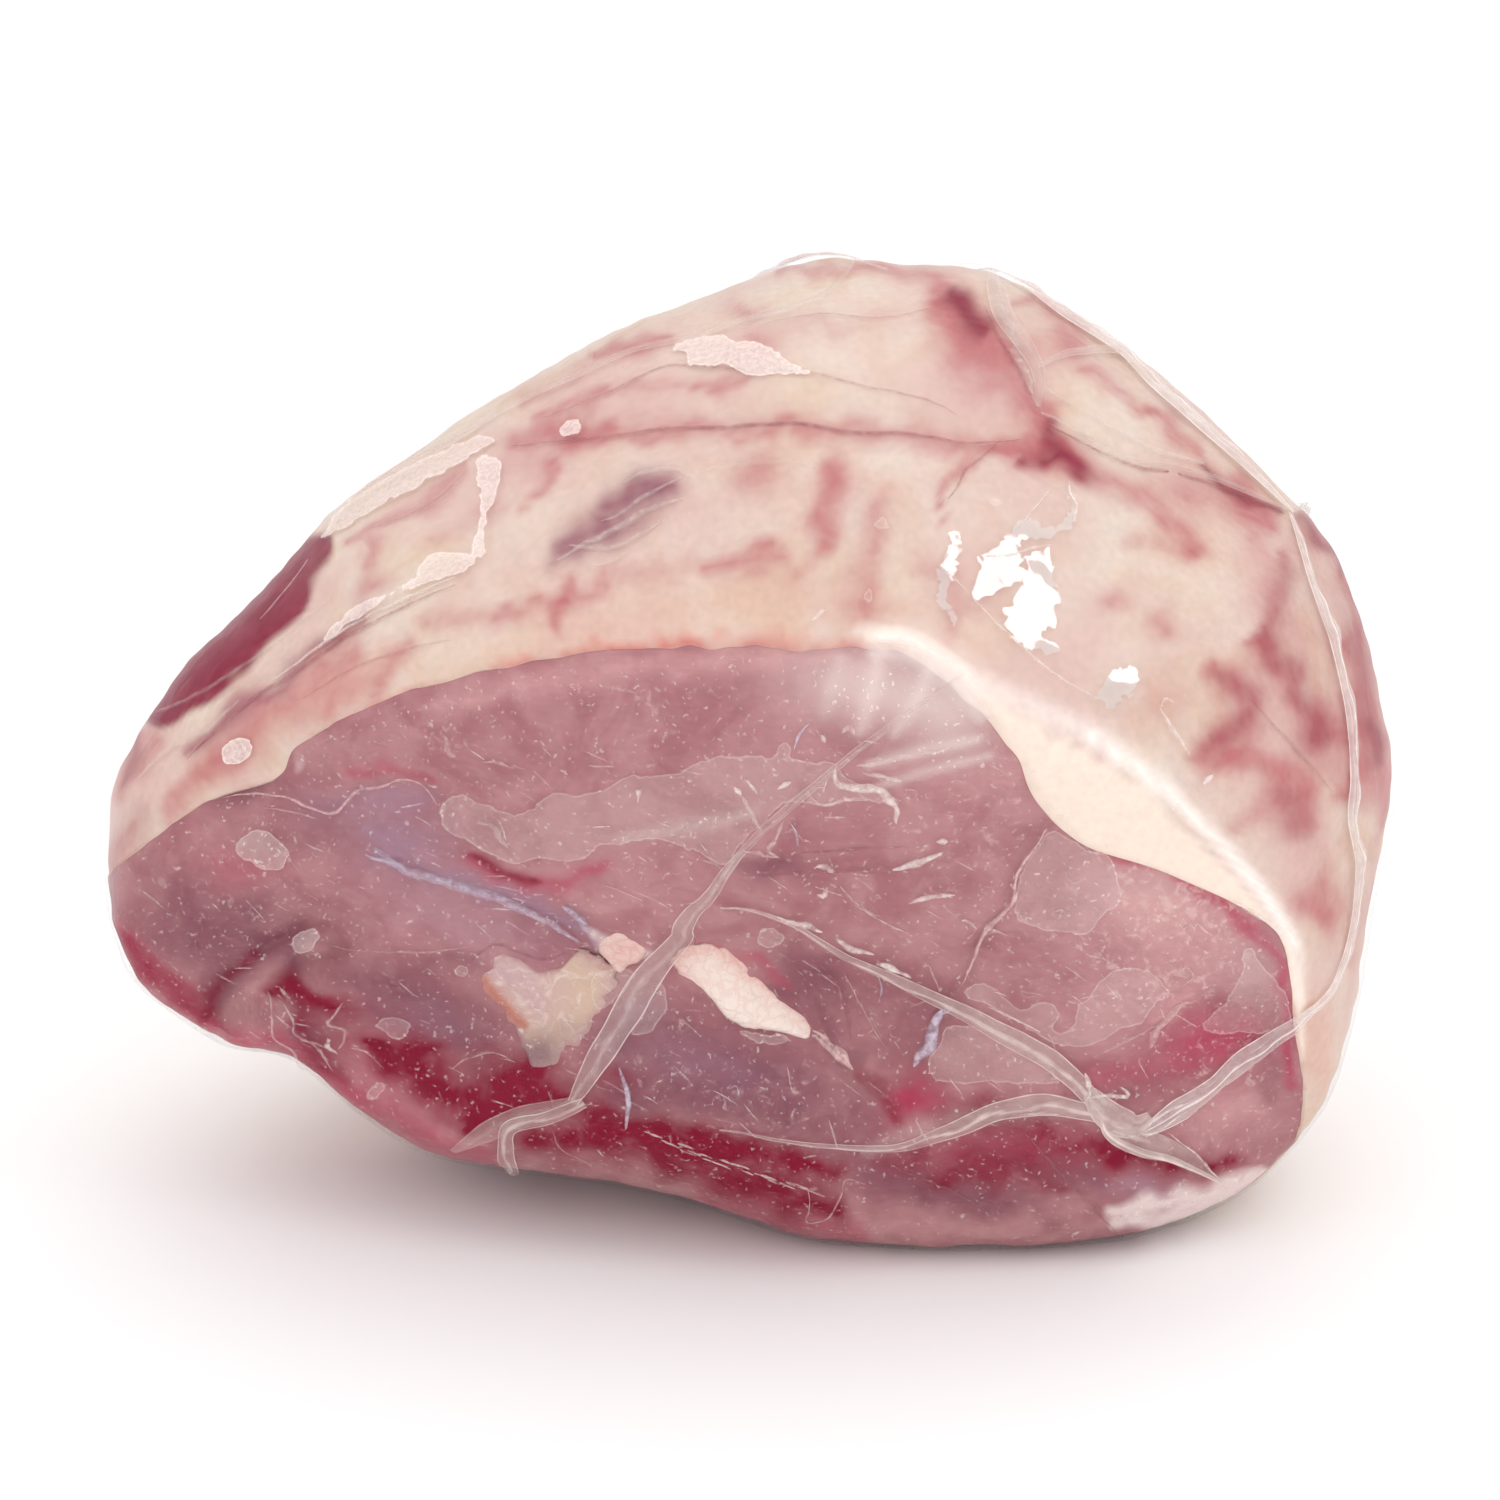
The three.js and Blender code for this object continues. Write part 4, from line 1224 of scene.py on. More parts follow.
    def build(self) -> bpy.types.Object:
        """Builds the lean from its face round to its inner side.

        Returns:
            The piece.
        """
        skin, form = self.skin, self.skin.form
        latitude = skin.face_latitudes()
        places = skin.places(latitude)
        seen_u, seen_v, weight = skin.seen(latitude)
        height = 0.12 * Ripple(5, 1).at(seen_u, seen_v) - 0.12
        height += 0.25 * Ripple(17, 2).at(seen_u, seen_v) - 0.25
        for crease in self.fine_creases:
            distance, _ = line_distance(seen_u, seen_v, catmull_rom(crease.points, per_span=4))
            height -= crease.depth * np.exp(-((distance / crease.width) ** 2))
        places = places + grid_normals(places) * (height * weight)[..., None]
        places[..., 2] = np.maximum(places[..., 2], skin.lift)
        inner = skin.back_latitudes(self.inner_rings)
        closing = form.inner(skin.angle[None, :], inner, skin.edge[None, :], skin.gap)
        rings = np.concatenate([places, closing], axis=0)
        back = form.inner(skin.angle[:1], np.array([2.0]), skin.edge[:1], skin.gap)[0]
        piece = closed_piece("lean", form.skin(np.zeros(1), np.zeros(1))[0], rings, back)
        self._dress(piece, seen_u, seen_v, weight)
        return piece

    def _dress(self, piece: bpy.types.Object, u: np.ndarray, v: np.ndarray, weight: np.ndarray) -> None:
        """Stores the lean's zones and gives it its finish.

        Args:
            piece: The lean.
            u: Where the camera sees its face, across.
            v: Where the camera sees its face, up.
            weight: How far the marks of the face count.
        """
        hidden = self.inner_rings * self.skin.columns + 1
        warp_u, warp_v = u + 1.3 * Ripple(11, 3).at(u, v), v + 1.1 * Ripple(9, 4).at(u, v)
        for name in LEAN_MARKS:
            cover = covered(getattr(self, name), warp_u, warp_v) * weight
            if name == "purge":
                cover = np.maximum(cover, 0.55 * (1 - weight) * (0.6 + 0.4 * Ripple(22, 5).at(u, v)))
            store(piece, name, np.concatenate([[tip_value(cover[0])], cover.ravel(), np.zeros(hidden)]))
        put_in_place(piece, RawLean().make(), "lean_meat")


@dataclass
class FatCap:
    """The fat over the top, the right side and the back, stained rose where blood has soaked in."""

    skin: Skin
    inner_rings: int = 10
    rose: Sequence[Stroke | Spot] = (
        Stroke(((18, 63), (17, 51), (15, 43)), 3.8, 0.85),
        Stroke(((28, 55), (27, 45), (24, 39), (26, 31)), 3.6, 0.6),
        Spot((24, 31), (9, 4), 0.5),
        Spot((1, 61), (6.5, 5), 0.7),
        Stroke(((-11, 39), (-2, 41), (6, 44)), 2.8, 0.8),
        Spot((11, 39), (5, 3), 0.4),
        Stroke(((-40, 37), (-41, 31.5), (-42.5, 26.5)), 1.8, 0.75),
        Stroke(((-55.5, 29), (-50, 30.5), (-41, 32), (-32.5, 36)), 2.2, 0.6),
        Stroke(((-32, 38), (-21, 39), (-11, 41)), 3.0, 0.35),
        Spot((-43, 62), (3.2, 2.2), 0.9, 30),
        Stroke(((-50, 54.5), (-44.5, 58), (-41, 61)), 1.6, 0.6),
        Spot((-50, 62), (6, 3), 0.4),
        Stroke(((-52, 67), (-44, 68), (-36, 69), (-30, 70)), 3.2, 1.0),
        Spot((-41, 70), (12, 2.6), 0.6, 8),
        Stroke(((-38, 68), (-28, 68), (-17, 70), (-2, 70), (15, 70), (28, 69), (45, 67), (62, 65)), 2.6, 0.75),
        Stroke(((-45.5, 72.5), (-38, 75.5), (-30.5, 78)), 1.8, 0.7),
        Stroke(((-11, 79.5), (-4.5, 79.5), (-1, 81.5)), 2.0, 0.8),
        Stroke(((-28, 79), (-19.5, 80), (-13, 81)), 1.8, 0.45),
        Stroke(((-33.5, 87), (-24, 88), (-17.5, 89.5)), 2.0, 0.85),
        Stroke(((-50, 76), (-41, 81), (-32.5, 84.5)), 2.0, 0.4),
        Spot((-1, 96), (4, 2), 0.7),
        Spot((2, 90), (5, 2), 0.6),
        Spot((16, 93), (10, 2.5), 0.4),
        Stroke(((6.5, 105), (24, 105), (39.5, 104)), 1.8, 0.6),
        Stroke(((41, 101), (45, 94), (51, 87), (57, 81), (62, 75)), 5.0, 1.0),
        Spot((48, 84), (8, 6), 0.5),
        Stroke(((56.5, 98), (64.5, 97.5), (72, 93.5)), 1.8, 0.6),
        Spot((69, 90), (7, 4), 0.8, -20),
        Stroke(((63, 73), (64, 68), (71, 63)), 4.2, 1.0),
        Stroke(((51, 66), (59, 65), (72, 61)), 2.6, 0.95),
        Stroke(((68, 64), (83, 56), (91, 50), (98, 44)), 2.8, 0.8),
        Stroke(((87, 74), (93, 70), (98, 64)), 3.0, 0.75),
        Stroke(((72, 82.5), (78.5, 79.5), (87, 74)), 2.0, 0.6),
        Stroke(((106, 58), (110, 53), (114, 49)), 4.4, 0.9),
        Spot((96, 56), (9, 4), 0.6, -20),
        Stroke(((83, 46), (90, 45), (99, 43)), 2.4, 0.4),
        Stroke(((117, 43), (115, 35), (114, 28), (110, 24)), 2.4, 0.6),
        Stroke(((110, 24), (118, 15), (124, 7), (130, 1)), 3.2, 0.85),
        Stroke(((102, 18), (108, 10), (104, 3), (99, 0)), 5.0, 0.85),
        Stroke(((99, -1), (108, -2), (118, -4)), 4.0, 0.8),
        Spot((124, 3), (7, 6), 1.0),
        Stroke(((113, -2), (120, -9), (123, -16)), 3.6, 0.7),
        Stroke(((106, -17), (115, -11), (120, -5)), 3.0, 0.55),
        Spot((124, -34), (5, 6), 0.9, 30),
        Spot((90, 28), (5, 3), 0.6, -40),
        Spot((78, 32), (4, 3), 0.6),
        Spot((90, 13), (8, 12), 0.35),
        Stroke(((38, 41), (44, 35), (43, 22)), 3.4, 0.4),
        Stroke(((47.5, 64), (43.5, 57.5), (41, 51)), 1.4, 0.7),
        Stroke(((122, 50), (128, 43), (132, 35), (134, 24)), 3.4, 0.9),
        Stroke(((133, 13), (137, 2), (139, -9), (138, -17)), 5.0, 0.8),
        Stroke(((137, -22), (135, -32), (131, -46)), 3.0, 0.35),
        Stroke(((-83, 11), (-79, 18), (-74, 24)), 2.4, 0.7),
        Stroke(((-115, -4), (-106, 7), (-94, 15), (-87, 21)), 4.6, 0.75),
        Stroke(((-126, -13), (-118, -4), (-111, 2)), 3.4, 0.7),
        Stroke(((-137, -9), (-135, -2), (-130, 3)), 2.6, 0.6),
        Stroke(((-122.5, -1.5), (-116, 4.5), (-104, 14), (-91, 24), (-83.5, 30)), 1.6, 0.6),
        Stroke(((-84.5, 39.5), (-80.5, 44.5), (-82, 46.5)), 2.2, 0.7),
        Spot((-83, 36), (4, 2.4), 0.8, 30),
        Stroke(((-88, 45.5), (-83, 49), (-74.5, 51.5), (-61.5, 61)), 1.8, 0.7),
        Stroke(((-69, 46), (-61, 50), (-54, 53)), 2.6, 0.35),
        Spot((-92, 11), (14, 5), 0.45, 32),
        Stroke(((-71, 28), (-58, 30), (-53, 30)), 2.6, 0.4),
        Stroke(((-135.5, -17.5), (-138, -22), (-138.5, -28.5)), 1.8, 0.4),
        Stroke(((120, 46), (129, 28), (134, 11), (137, -6)), 5.0, 0.4),
        Spot((126, -28), (5, 9), 0.35),
        Spot((51, 88), (9, 8), 0.8, -50),
        Spot((-91, 24), (8, 3), 0.4, 38),
        Stroke(((131, 24), (133, 11), (134, 0), (131, -10)), 5.0, 0.85),
        Stroke(((102, 61), (109, 50), (112, 37)), 3.0, 0.4),
        Spot((118, 24), (7, 12), 0.45, 15),
        Spot((118, -14), (5, 7), 0.6, 20),
        Spot((124, 1), (4, 8), 0.6),
        Spot((51, 32), (6, 4), 0.35),
    )
    peach: Sequence[Stroke | Spot] = (
        Stroke(((-71, 13), (-41, 24), (-11, 30), (24, 31), (50, 22)), 8.0, 0.35),
        Stroke(((-119, -6), (-102, 8), (-80, 20)), 6.0, 0.4),
        Stroke(((-132, -22), (-136, -26)), 5.0, 0.5),
        Stroke(((122, -54), (125, -72)), 6.0, 0.5),
    )
    # a painted highlight along the corner where the cut face of the fat turns to its side
    rim: Sequence[Stroke | Spot] = (
        Stroke(((23, 25), (31, 25)), 1.6, 0.55),
        Stroke(((29, 25), (36, 23), (42, 20), (50, 14)), 2.6, 0.9),
        Stroke(((49, 15), (66, 7), (79, 1), (92, -10)), 3.0, 0.6),
        Stroke(((74, 3), (91.5, -10), (101.5, -19.5), (111.5, -31), (118.5, -42)), 1.7, 0.95),
        Stroke(((106, -26), (113, -32.5), (119, -43.5), (120, -54.5)), 1.8, 0.5),
    )
    crimson: Sequence[Stroke | Spot] = (
        Stroke(((117, 41), (114, 28), (110.5, 24)), 2.6, 0.28),
        Stroke(((111.5, 22.5), (118, 17.5), (124.5, 6)), 3.4, 0.34),
        Stroke(((103, 16), (109, 9.5), (100.5, 0.5)), 3.6, 0.32),
        Stroke(((131, 34.5), (134, 15), (137, -2.5)), 3.6, 0.34),
        Stroke(((116.5, -11), (121.5, -19)), 4, 0.28),
        Stroke(((44, 101), (47, 96), (51, 91)), 2.4, 0.9),
        Spot((46, 98), (3, 2.2), 0.8),
        Stroke(((64.5, 70.5), (66.5, 66), (71, 62)), 1.8, 0.8),
        Spot((72, 61), (4, 1.8), 0.8, -20),
        Stroke(((59.5, 64.5), (66, 63.5), (73, 61.5)), 1.2, 0.8),
        Stroke(((98, 61.5), (106.5, 56), (115.5, 52.5)), 1.2, 0.7),
        Stroke(((120, 50), (126, 44.5), (129.5, 38)), 1.4, 0.6),
        Spot((124, 2), (4, 3.4), 0.5),
        Stroke(((135.5, 6.5), (138.5, -3.5)), 1.6, 0.5),
        Stroke(((-132.5, 2.5), (-135, -2), (-136.5, -7)), 1.4, 0.5),
        Stroke(((-114, -11), (-111, -9.5), (-107.5, -9)), 1.2, 0.6),
    )
    # purple in the hollow on the top; painted shade in the valley on the left and down the far left side
    purple_and_shade: Sequence[Stroke | Spot] = (
        Stroke(((-138.5, -32.5), (-137.5, -24), (-132.5, -14.5)), 6, 0.28),
        Stroke(((-18, 59), (-24, 56), (-30, 53), (-34, 48), (-41, 44)), 4.4, 0.85),
        Spot((-20, 56), (4.5, 2.6), 0.6, 20),
        Spot((-38, 45), (6, 2.6), 0.7, 32),
        Spot((-28, 49), (7, 3), 0.6, 25),
        Stroke(((-83, 31), (-94, 23), (-104, 15), (-116, 5), (-122, -1)), 2.4, 0.55),
    )
    salmon: Sequence[Stroke | Spot] = (
        Stroke(((-30, 22), (-11, 23.5), (1, 23.5), (14.5, 23), (24, 22.5), (34, 20)), 2.0, 1.0),
        Stroke(((-55, 17.5), (-41, 20), (-30, 22)), 1.6, 0.9),
        Stroke(((-98, 0.5), (-89, 6), (-80.5, 10.5), (-67.5, 13), (-50, 17)), 1.2, 0.6),
        Stroke(((117.5, -54.5), (118, -65.5), (119.5, -74)), 1.2, 0.6),
    )
    bruise: Patch = Patch(
        (
            (-93, 47), (-91.5, 43), (-94.5, 37), (-100, 28.5), (-105.5, 21.5), (-110.5, 16), (-115.5, 11.5), (-121.5, 9), (-129, 5),
            (-132.5, 8), (-127, 17), (-122.5, 22.5), (-118, 26.5), (-114.5, 31.5), (-108.5, 35.5), (-102, 41), (-98, 46.5),
        )
    )
    band: Patch = Patch(
        (
            (23.5, 24), (30.5, 25.5), (45.5, 18.5), (55.5, 10), (70.5, 1), (81.5, -6), (89, -11.5), (96.5, -19.5),
            (104, -26.5), (111.5, -34.5), (118, -43.5), (120.5, -52.5), (120, -67.5), (115.5, -56.5), (109, -43.5),
            (96.5, -34), (78, -27.5), (63.5, -19.5), (54.5, 0), (41.5, 11), (26, 18.5),
        )
    )

    def build(self) -> bpy.types.Object:
        """Builds the cup of fat, inside and out.

        Returns:
            The piece.
        """
        skin, form = self.skin, self.skin.form
        latitude = skin.back_latitudes(skin.back_rings)
        places = skin.places(latitude)
        seen_u, seen_v, weight = skin.seen(latitude)
        height = 0.2 * Ripple(9, 11).at(seen_u, seen_v) - 0.2
        height += 0.3 * Ripple(26, 12).at(seen_u + 40 * (1 - weight), seen_v) - 0.3
        height *= np.minimum(1.0, np.arange(skin.back_rings)[:, None] / 6.0)
        places = places + grid_normals(places) * height[..., None]
        places[..., 2] = np.maximum(places[..., 2], skin.lift)
        inner = skin.back_latitudes(self.inner_rings)[::-1]
        lining = form.inner(skin.angle[None, :], inner, skin.edge[None, :], 0.0)
        rings = np.concatenate([lining, places], axis=0)
        inside_tip = form.inner(skin.angle[:1], np.array([2.0]), skin.edge[:1], 0.0)[0]
        outside_tip = form.skin(np.zeros(1), np.full(1, 2.0))[0]
        piece = closed_piece("fat", inside_tip, rings, outside_tip)
        self._dress(piece, seen_u, seen_v, weight)
        return piece

    def _dress(self, piece: bpy.types.Object, u: np.ndarray, v: np.ndarray, weight: np.ndarray) -> None:
        """Stores the fat's stains, its painted shade and its painted rim highlight, and gives it its finish.

        Args:
            piece: The fat.
            u: Where the camera sees its outside, across.
            v: Where the camera sees its outside, up.
            weight: How far the marks of the face count.
        """
        hidden = np.zeros(self.inner_rings * self.skin.columns + 1)
        warp_u, warp_v = u + 1.5 * Ripple(12, 13).at(u, v), v + 1.2 * Ripple(10, 14).at(u, v)
        fat_stains_and_painted_light = {name: covered(getattr(self, name), warp_u, warp_v) * weight for name in FAT_MARKS[:6]}
        # round the end of the leg the bruise ends in waves
        round_end = smoothstep(weight + 0.5 * Ripple(20, 15).at(u, v), 0.2, 0.85)
        bruise = smoothstep(self.bruise.depth(warp_u, v), -0.9, 1.1) * round_end
        fat_stains_and_painted_light["crimson"] = np.maximum(fat_stains_and_painted_light["crimson"], bruise)
        # the painted rim highlight is laid without the warp
        fat_stains_and_painted_light["rim"] = covered(self.rim, u, v) * weight
        fat_stains_and_painted_light["band"] = smoothstep(self.band.depth(u, v), -1.2, 1.2) * weight
        fat_stains_and_painted_light["loose"] = 0.25 + 0.75 * (1.0 - weight)
        for name, cover in fat_stains_and_painted_light.items():
            store(piece, name, np.concatenate([hidden, cover.ravel(), [tip_value(cover[-1])]]))
        put_in_place(piece, PorkFat().make(), "fat_cap")


def star_disc(
    form: LegForm, outline: Points, sides: int, rings: int, ragged: float
) -> tuple[np.ndarray, np.ndarray, np.ndarray]:
    """Fills an outline that the camera sees with rings round its middle.

    Args:
        form: The leg's form.
        outline: The outline's points.
        sides: Points in each ring.
        rings: How many rings, without the middle.
        ragged: How far the edge strays, as a share of the way out.

    Returns:
        Places across and up by ring and side, and how far out each ring is, from 0 to 1.
    """
    loop = catmull_rom(outline, closed=True, per_span=8)
    loop = np.stack(form.unseen(loop[:, 0], loop[:, 1]), axis=-1)
    middle = loop.mean(axis=0)
    spread = loop - middle
    turn = np.arctan2(spread[:, 1], spread[:, 0])
    order = np.argsort(turn)
    angles = np.linspace(math.pi, -math.pi, sides, endpoint=False)
    radius = np.interp(angles, turn[order], np.hypot(*spread.T)[order], period=2 * math.pi)
    edge_u, edge_v = radius * np.cos(angles), radius * np.sin(angles)
    radius = radius * (1.0 + ragged * Ripple(3.6, rings).at(edge_u, edge_v))
    share = (np.arange(rings + 1) / rings)[:, None]
    return middle[0] + share * radius * np.cos(angles), middle[1] + share * radius * np.sin(angles), share


BONE_MARKS = ("membrane", "ochre", "gristle", "edge")


@dataclass(frozen=True)
class BoneEnd:
    """The end of the leg bone: cream cartilage, crinkled membrane, a rusty edge and grey gristle."""

    cream: str = "#cfb29e"
    membrane: str = "#c6a3a5"
    ochre: str = "#bf7b6c"
    gristle: str = "#86656d"
    rag: str = "#ecd8d2"
    edge: str = "#b08086"

    def make(self) -> bpy.types.Material:
        """Builds the material from the zones stored on the piece, with rags of fat from noise."""
        material, tree = bare_material("bone_end_and_gristle")
        place = add_node(tree, "TexCoord").outputs["Object"]
        zone = {
            name: add_node(tree, "Attribute", attribute_name=name).outputs["Fac"] for name in BONE_MARKS
        }
        rags, grit = (
            add_node(
                tree,
                "TexNoise",
                {"Vector": place, "Scale": per_mm(size), "Detail": 4.0, "Roughness": 0.6, "Distortion": 1.2},
            ).outputs["Fac"]
            for size in (3.6, 1.3)
        )
        colour = lay_over(tree, srgb(self.cream), zone["membrane"], self.membrane)
        colour = lay_over(tree, colour, rags, self.rag, 0.48, 0.68, 0.6)
        for name, tint in (("edge", self.edge), ("ochre", self.ochre), ("gristle", self.gristle)):
            colour = lay_over(tree, colour, zone[name], tint)
        colour = lay_over(tree, colour, grit, self.membrane, 0.55, 0.75, 0.5)
        bump = add_node(tree, "Bump", {"Strength": 0.6, "Distance": 0.5 * MM, "Height": rags})
        shader = add_node(
            tree,
            "BsdfPrincipled",
            {
                "Base Color": colour, "Roughness": 0.4, "IOR": 1.45, "Specular IOR Level": 0.1,
                "Normal": bump.outputs[0],
            },
        )
        add_node(tree, "OutputMaterial", {"Surface": shader.outputs[0]})
        return material


@dataclass
class LegBone:
    """The leg bone: its ragged end lies in the cut, and its shaft runs on into the meat."""

    form: LegForm
    end: tuple[float, float] = (-44.0, -57.0)
    into: tuple[float, float, float] = (0.55, 0.78, 0.3)
    sides: int = 120
    shaft: Points = ((8, 8), (18, 10), (28, 11), (40, 10.5), (70, 9.5), (100, 10.5), (112, 9))
    shaft_end: float = 115.0
    head: Points = (
        (-60, -49.5), (-58, -45), (-54.5, -43.5), (-50.5, -45), (-45.5, -48), (-40.5, -46.5), (-37, -43.5), (-32.5, -45), (-28.5, -48),
        (-29.5, -52.5), (-32.5, -58.5), (-37, -63.5), (-40, -65.5), (-41.5, -69.5), (-45.5, -70.5), (-48.5, -67), (-50, -63),
        (-52.5, -58), (-55.5, -55), (-58, -52.5),
    )
    membrane: Sequence[Stroke | Spot] = (Spot((-52.5, -49), (9, 5), 1.0, -20), Spot((-46.5, -54.5), (6, 6), 0.6))
    ochre: Sequence[Stroke | Spot] = (Stroke(((-58, -50), (-55.5, -53.5), (-52.5, -57), (-49, -60)), 1.6, 1.0),)
    gristle: Sequence[Stroke | Spot] = (Spot((-45.5, -66), (5, 4.4), 0.9), Spot((-38.5, -61), (5, 3), 0.3))
    stand: float = 0.25
    rings: int = 20

    def build(self) -> bpy.types.Object:
        """Builds the end over the cut face and the shaft under it.

        Returns:
            The piece.
        """
        form = self.form
        u, v, share = star_disc(form, self.head, self.sides, self.rings, ragged=0.06)
        head = form.set_down(u, v, form.face(u, v) + self.stand - 1.0 * share**10)
        end_at = [np.array(x) for x in self.end]
        end = form.set_down(*end_at, form.face(*end_at))
        into = np.asarray(self.into) / np.linalg.norm(self.into)
        side = np.cross(into, (0.0, 0.0, 1.0))
        side /= np.linalg.norm(side)
        up = np.cross(side, into)
        around = np.linspace(math.pi, -math.pi, self.sides, endpoint=False)[:, None]
        tube = [
            end + into * depth + size * 0.95 * (side * np.cos(around) + up * np.sin(around)) for depth, size in self.shaft
        ]
        rings = np.concatenate([head[1:], np.asarray(tube)], axis=0)
        piece = closed_piece("bone", head[0, 0], rings, end + into * self.shaft_end)
        seen = form.seen(u[1:], v[1:], form.face(u[1:], v[1:]))
        rest = np.zeros(len(self.shaft) * self.sides + 1)
        for name in BONE_MARKS[:3]:
            cover = covered(getattr(self, name), *seen)
            store(piece, name, np.concatenate([[tip_value(cover[0])], cover.ravel(), rest]))
        edge = smoothstep(share[1:] * np.ones(self.sides), 0.7, 1.0) * 0.7
        store(piece, "edge", np.concatenate([[0.0], edge.ravel(), rest]))
        return put_in_place(piece, BoneEnd().make(), "leg_bone")


@dataclass(frozen=True)
class SeamFat:
    """Soft white fat from between the muscles, in lobes with pink between them."""

    white: str = "#f1dfd5"
    blush: str = "#e0b0a8"
    lobe: float = 3.6

    def make(self) -> bpy.types.Material:
        """Builds the material from white lobes and the rosy parts stored on the piece."""
        material, tree = bare_material("soft_seam_fat")
        place = add_node(tree, "TexCoord").outputs["Object"]
        rosy = add_node(tree, "Attribute", attribute_name="rosy").outputs["Fac"]
        warp = add_node(tree, "TexNoise", {"Vector": place, "Scale": per_mm(4), "Detail": 3.0})
        moved = add_node(tree, "VectorMath", {0: warp.outputs["Color"], "Scale": 6.0 * MM}, operation="SCALE")
        bent = add_node(tree, "VectorMath", {0: place, 1: moved.outputs[0]}, operation="ADD")
        lobes = add_node(
            tree,
            "TexVoronoi",
            {"Vector": bent.outputs[0], "Scale": per_mm(self.lobe)},
            feature="DISTANCE_TO_EDGE",
        ).outputs["Distance"]
        seam = add_node(tree, "MapRange", {"Value": lobes, "From Min": 0.12, "From Max": 0.0, "To Max": 0.3})
        share = add_node(tree, "Math", {0: seam.outputs["Result"], 1: rosy}, operation="ADD", use_clamp=True)
        colour = lay_over(tree, srgb(self.white), share.outputs[0], self.blush)
        bump = add_node(tree, "Bump", {"Strength": 0.7, "Distance": 1.0 * MM, "Height": lobes})
        shader = add_node(
            tree,
            "BsdfPrincipled",
            {
                "Base Color": colour, "Roughness": 0.45, "IOR": 1.44, "Specular IOR Level": 0.1,
                "Normal": bump.outputs[0],
            },
        )
        add_node(tree, "OutputMaterial", {"Surface": shader.outputs[0]})
        return material


@dataclass
class SeamLump:
    """A lump of fat in the seam between two muscles, half sunk in it."""

    name: str
    node: str
    outline: Points
    rosy: Sequence[Stroke | Spot]
    seed: int
    sides: int = 120
    rings: int = 14
    stand: float = 0.2
    depth: float = 2.5

    def build(self, form: LegForm, finish: bpy.types.Material) -> bpy.types.Object:
        """Builds the lump from its outline.

        Args:
            form: The leg's form.
            finish: The lump's material.

        Returns:
            The piece.
        """
        u, v, share = star_disc(form, self.outline, self.sides, self.rings, ragged=0.03)
        lift = self.stand + 0.15 * Ripple(5, self.seed).at(u, v) - 0.9 * share**8
        top = form.set_down(u, v, form.face(u, v) + lift)
        under = form.set_down(u[-4:-5:-1], v[-4:-5:-1], form.face(u[-4:-5:-1], v[-4:-5:-1]) - self.depth)
        piece = closed_piece(self.name, top[0, 0], np.concatenate([top[1:], under]), under[0].mean(axis=0))
        cover = covered(self.rosy, *form.seen(u[1:], v[1:], form.face(u[1:], v[1:])))
        store(piece, "rosy", np.concatenate([[tip_value(cover[0])], cover.ravel(), np.zeros(self.sides + 1)]))
        return put_in_place(piece, finish, self.node)


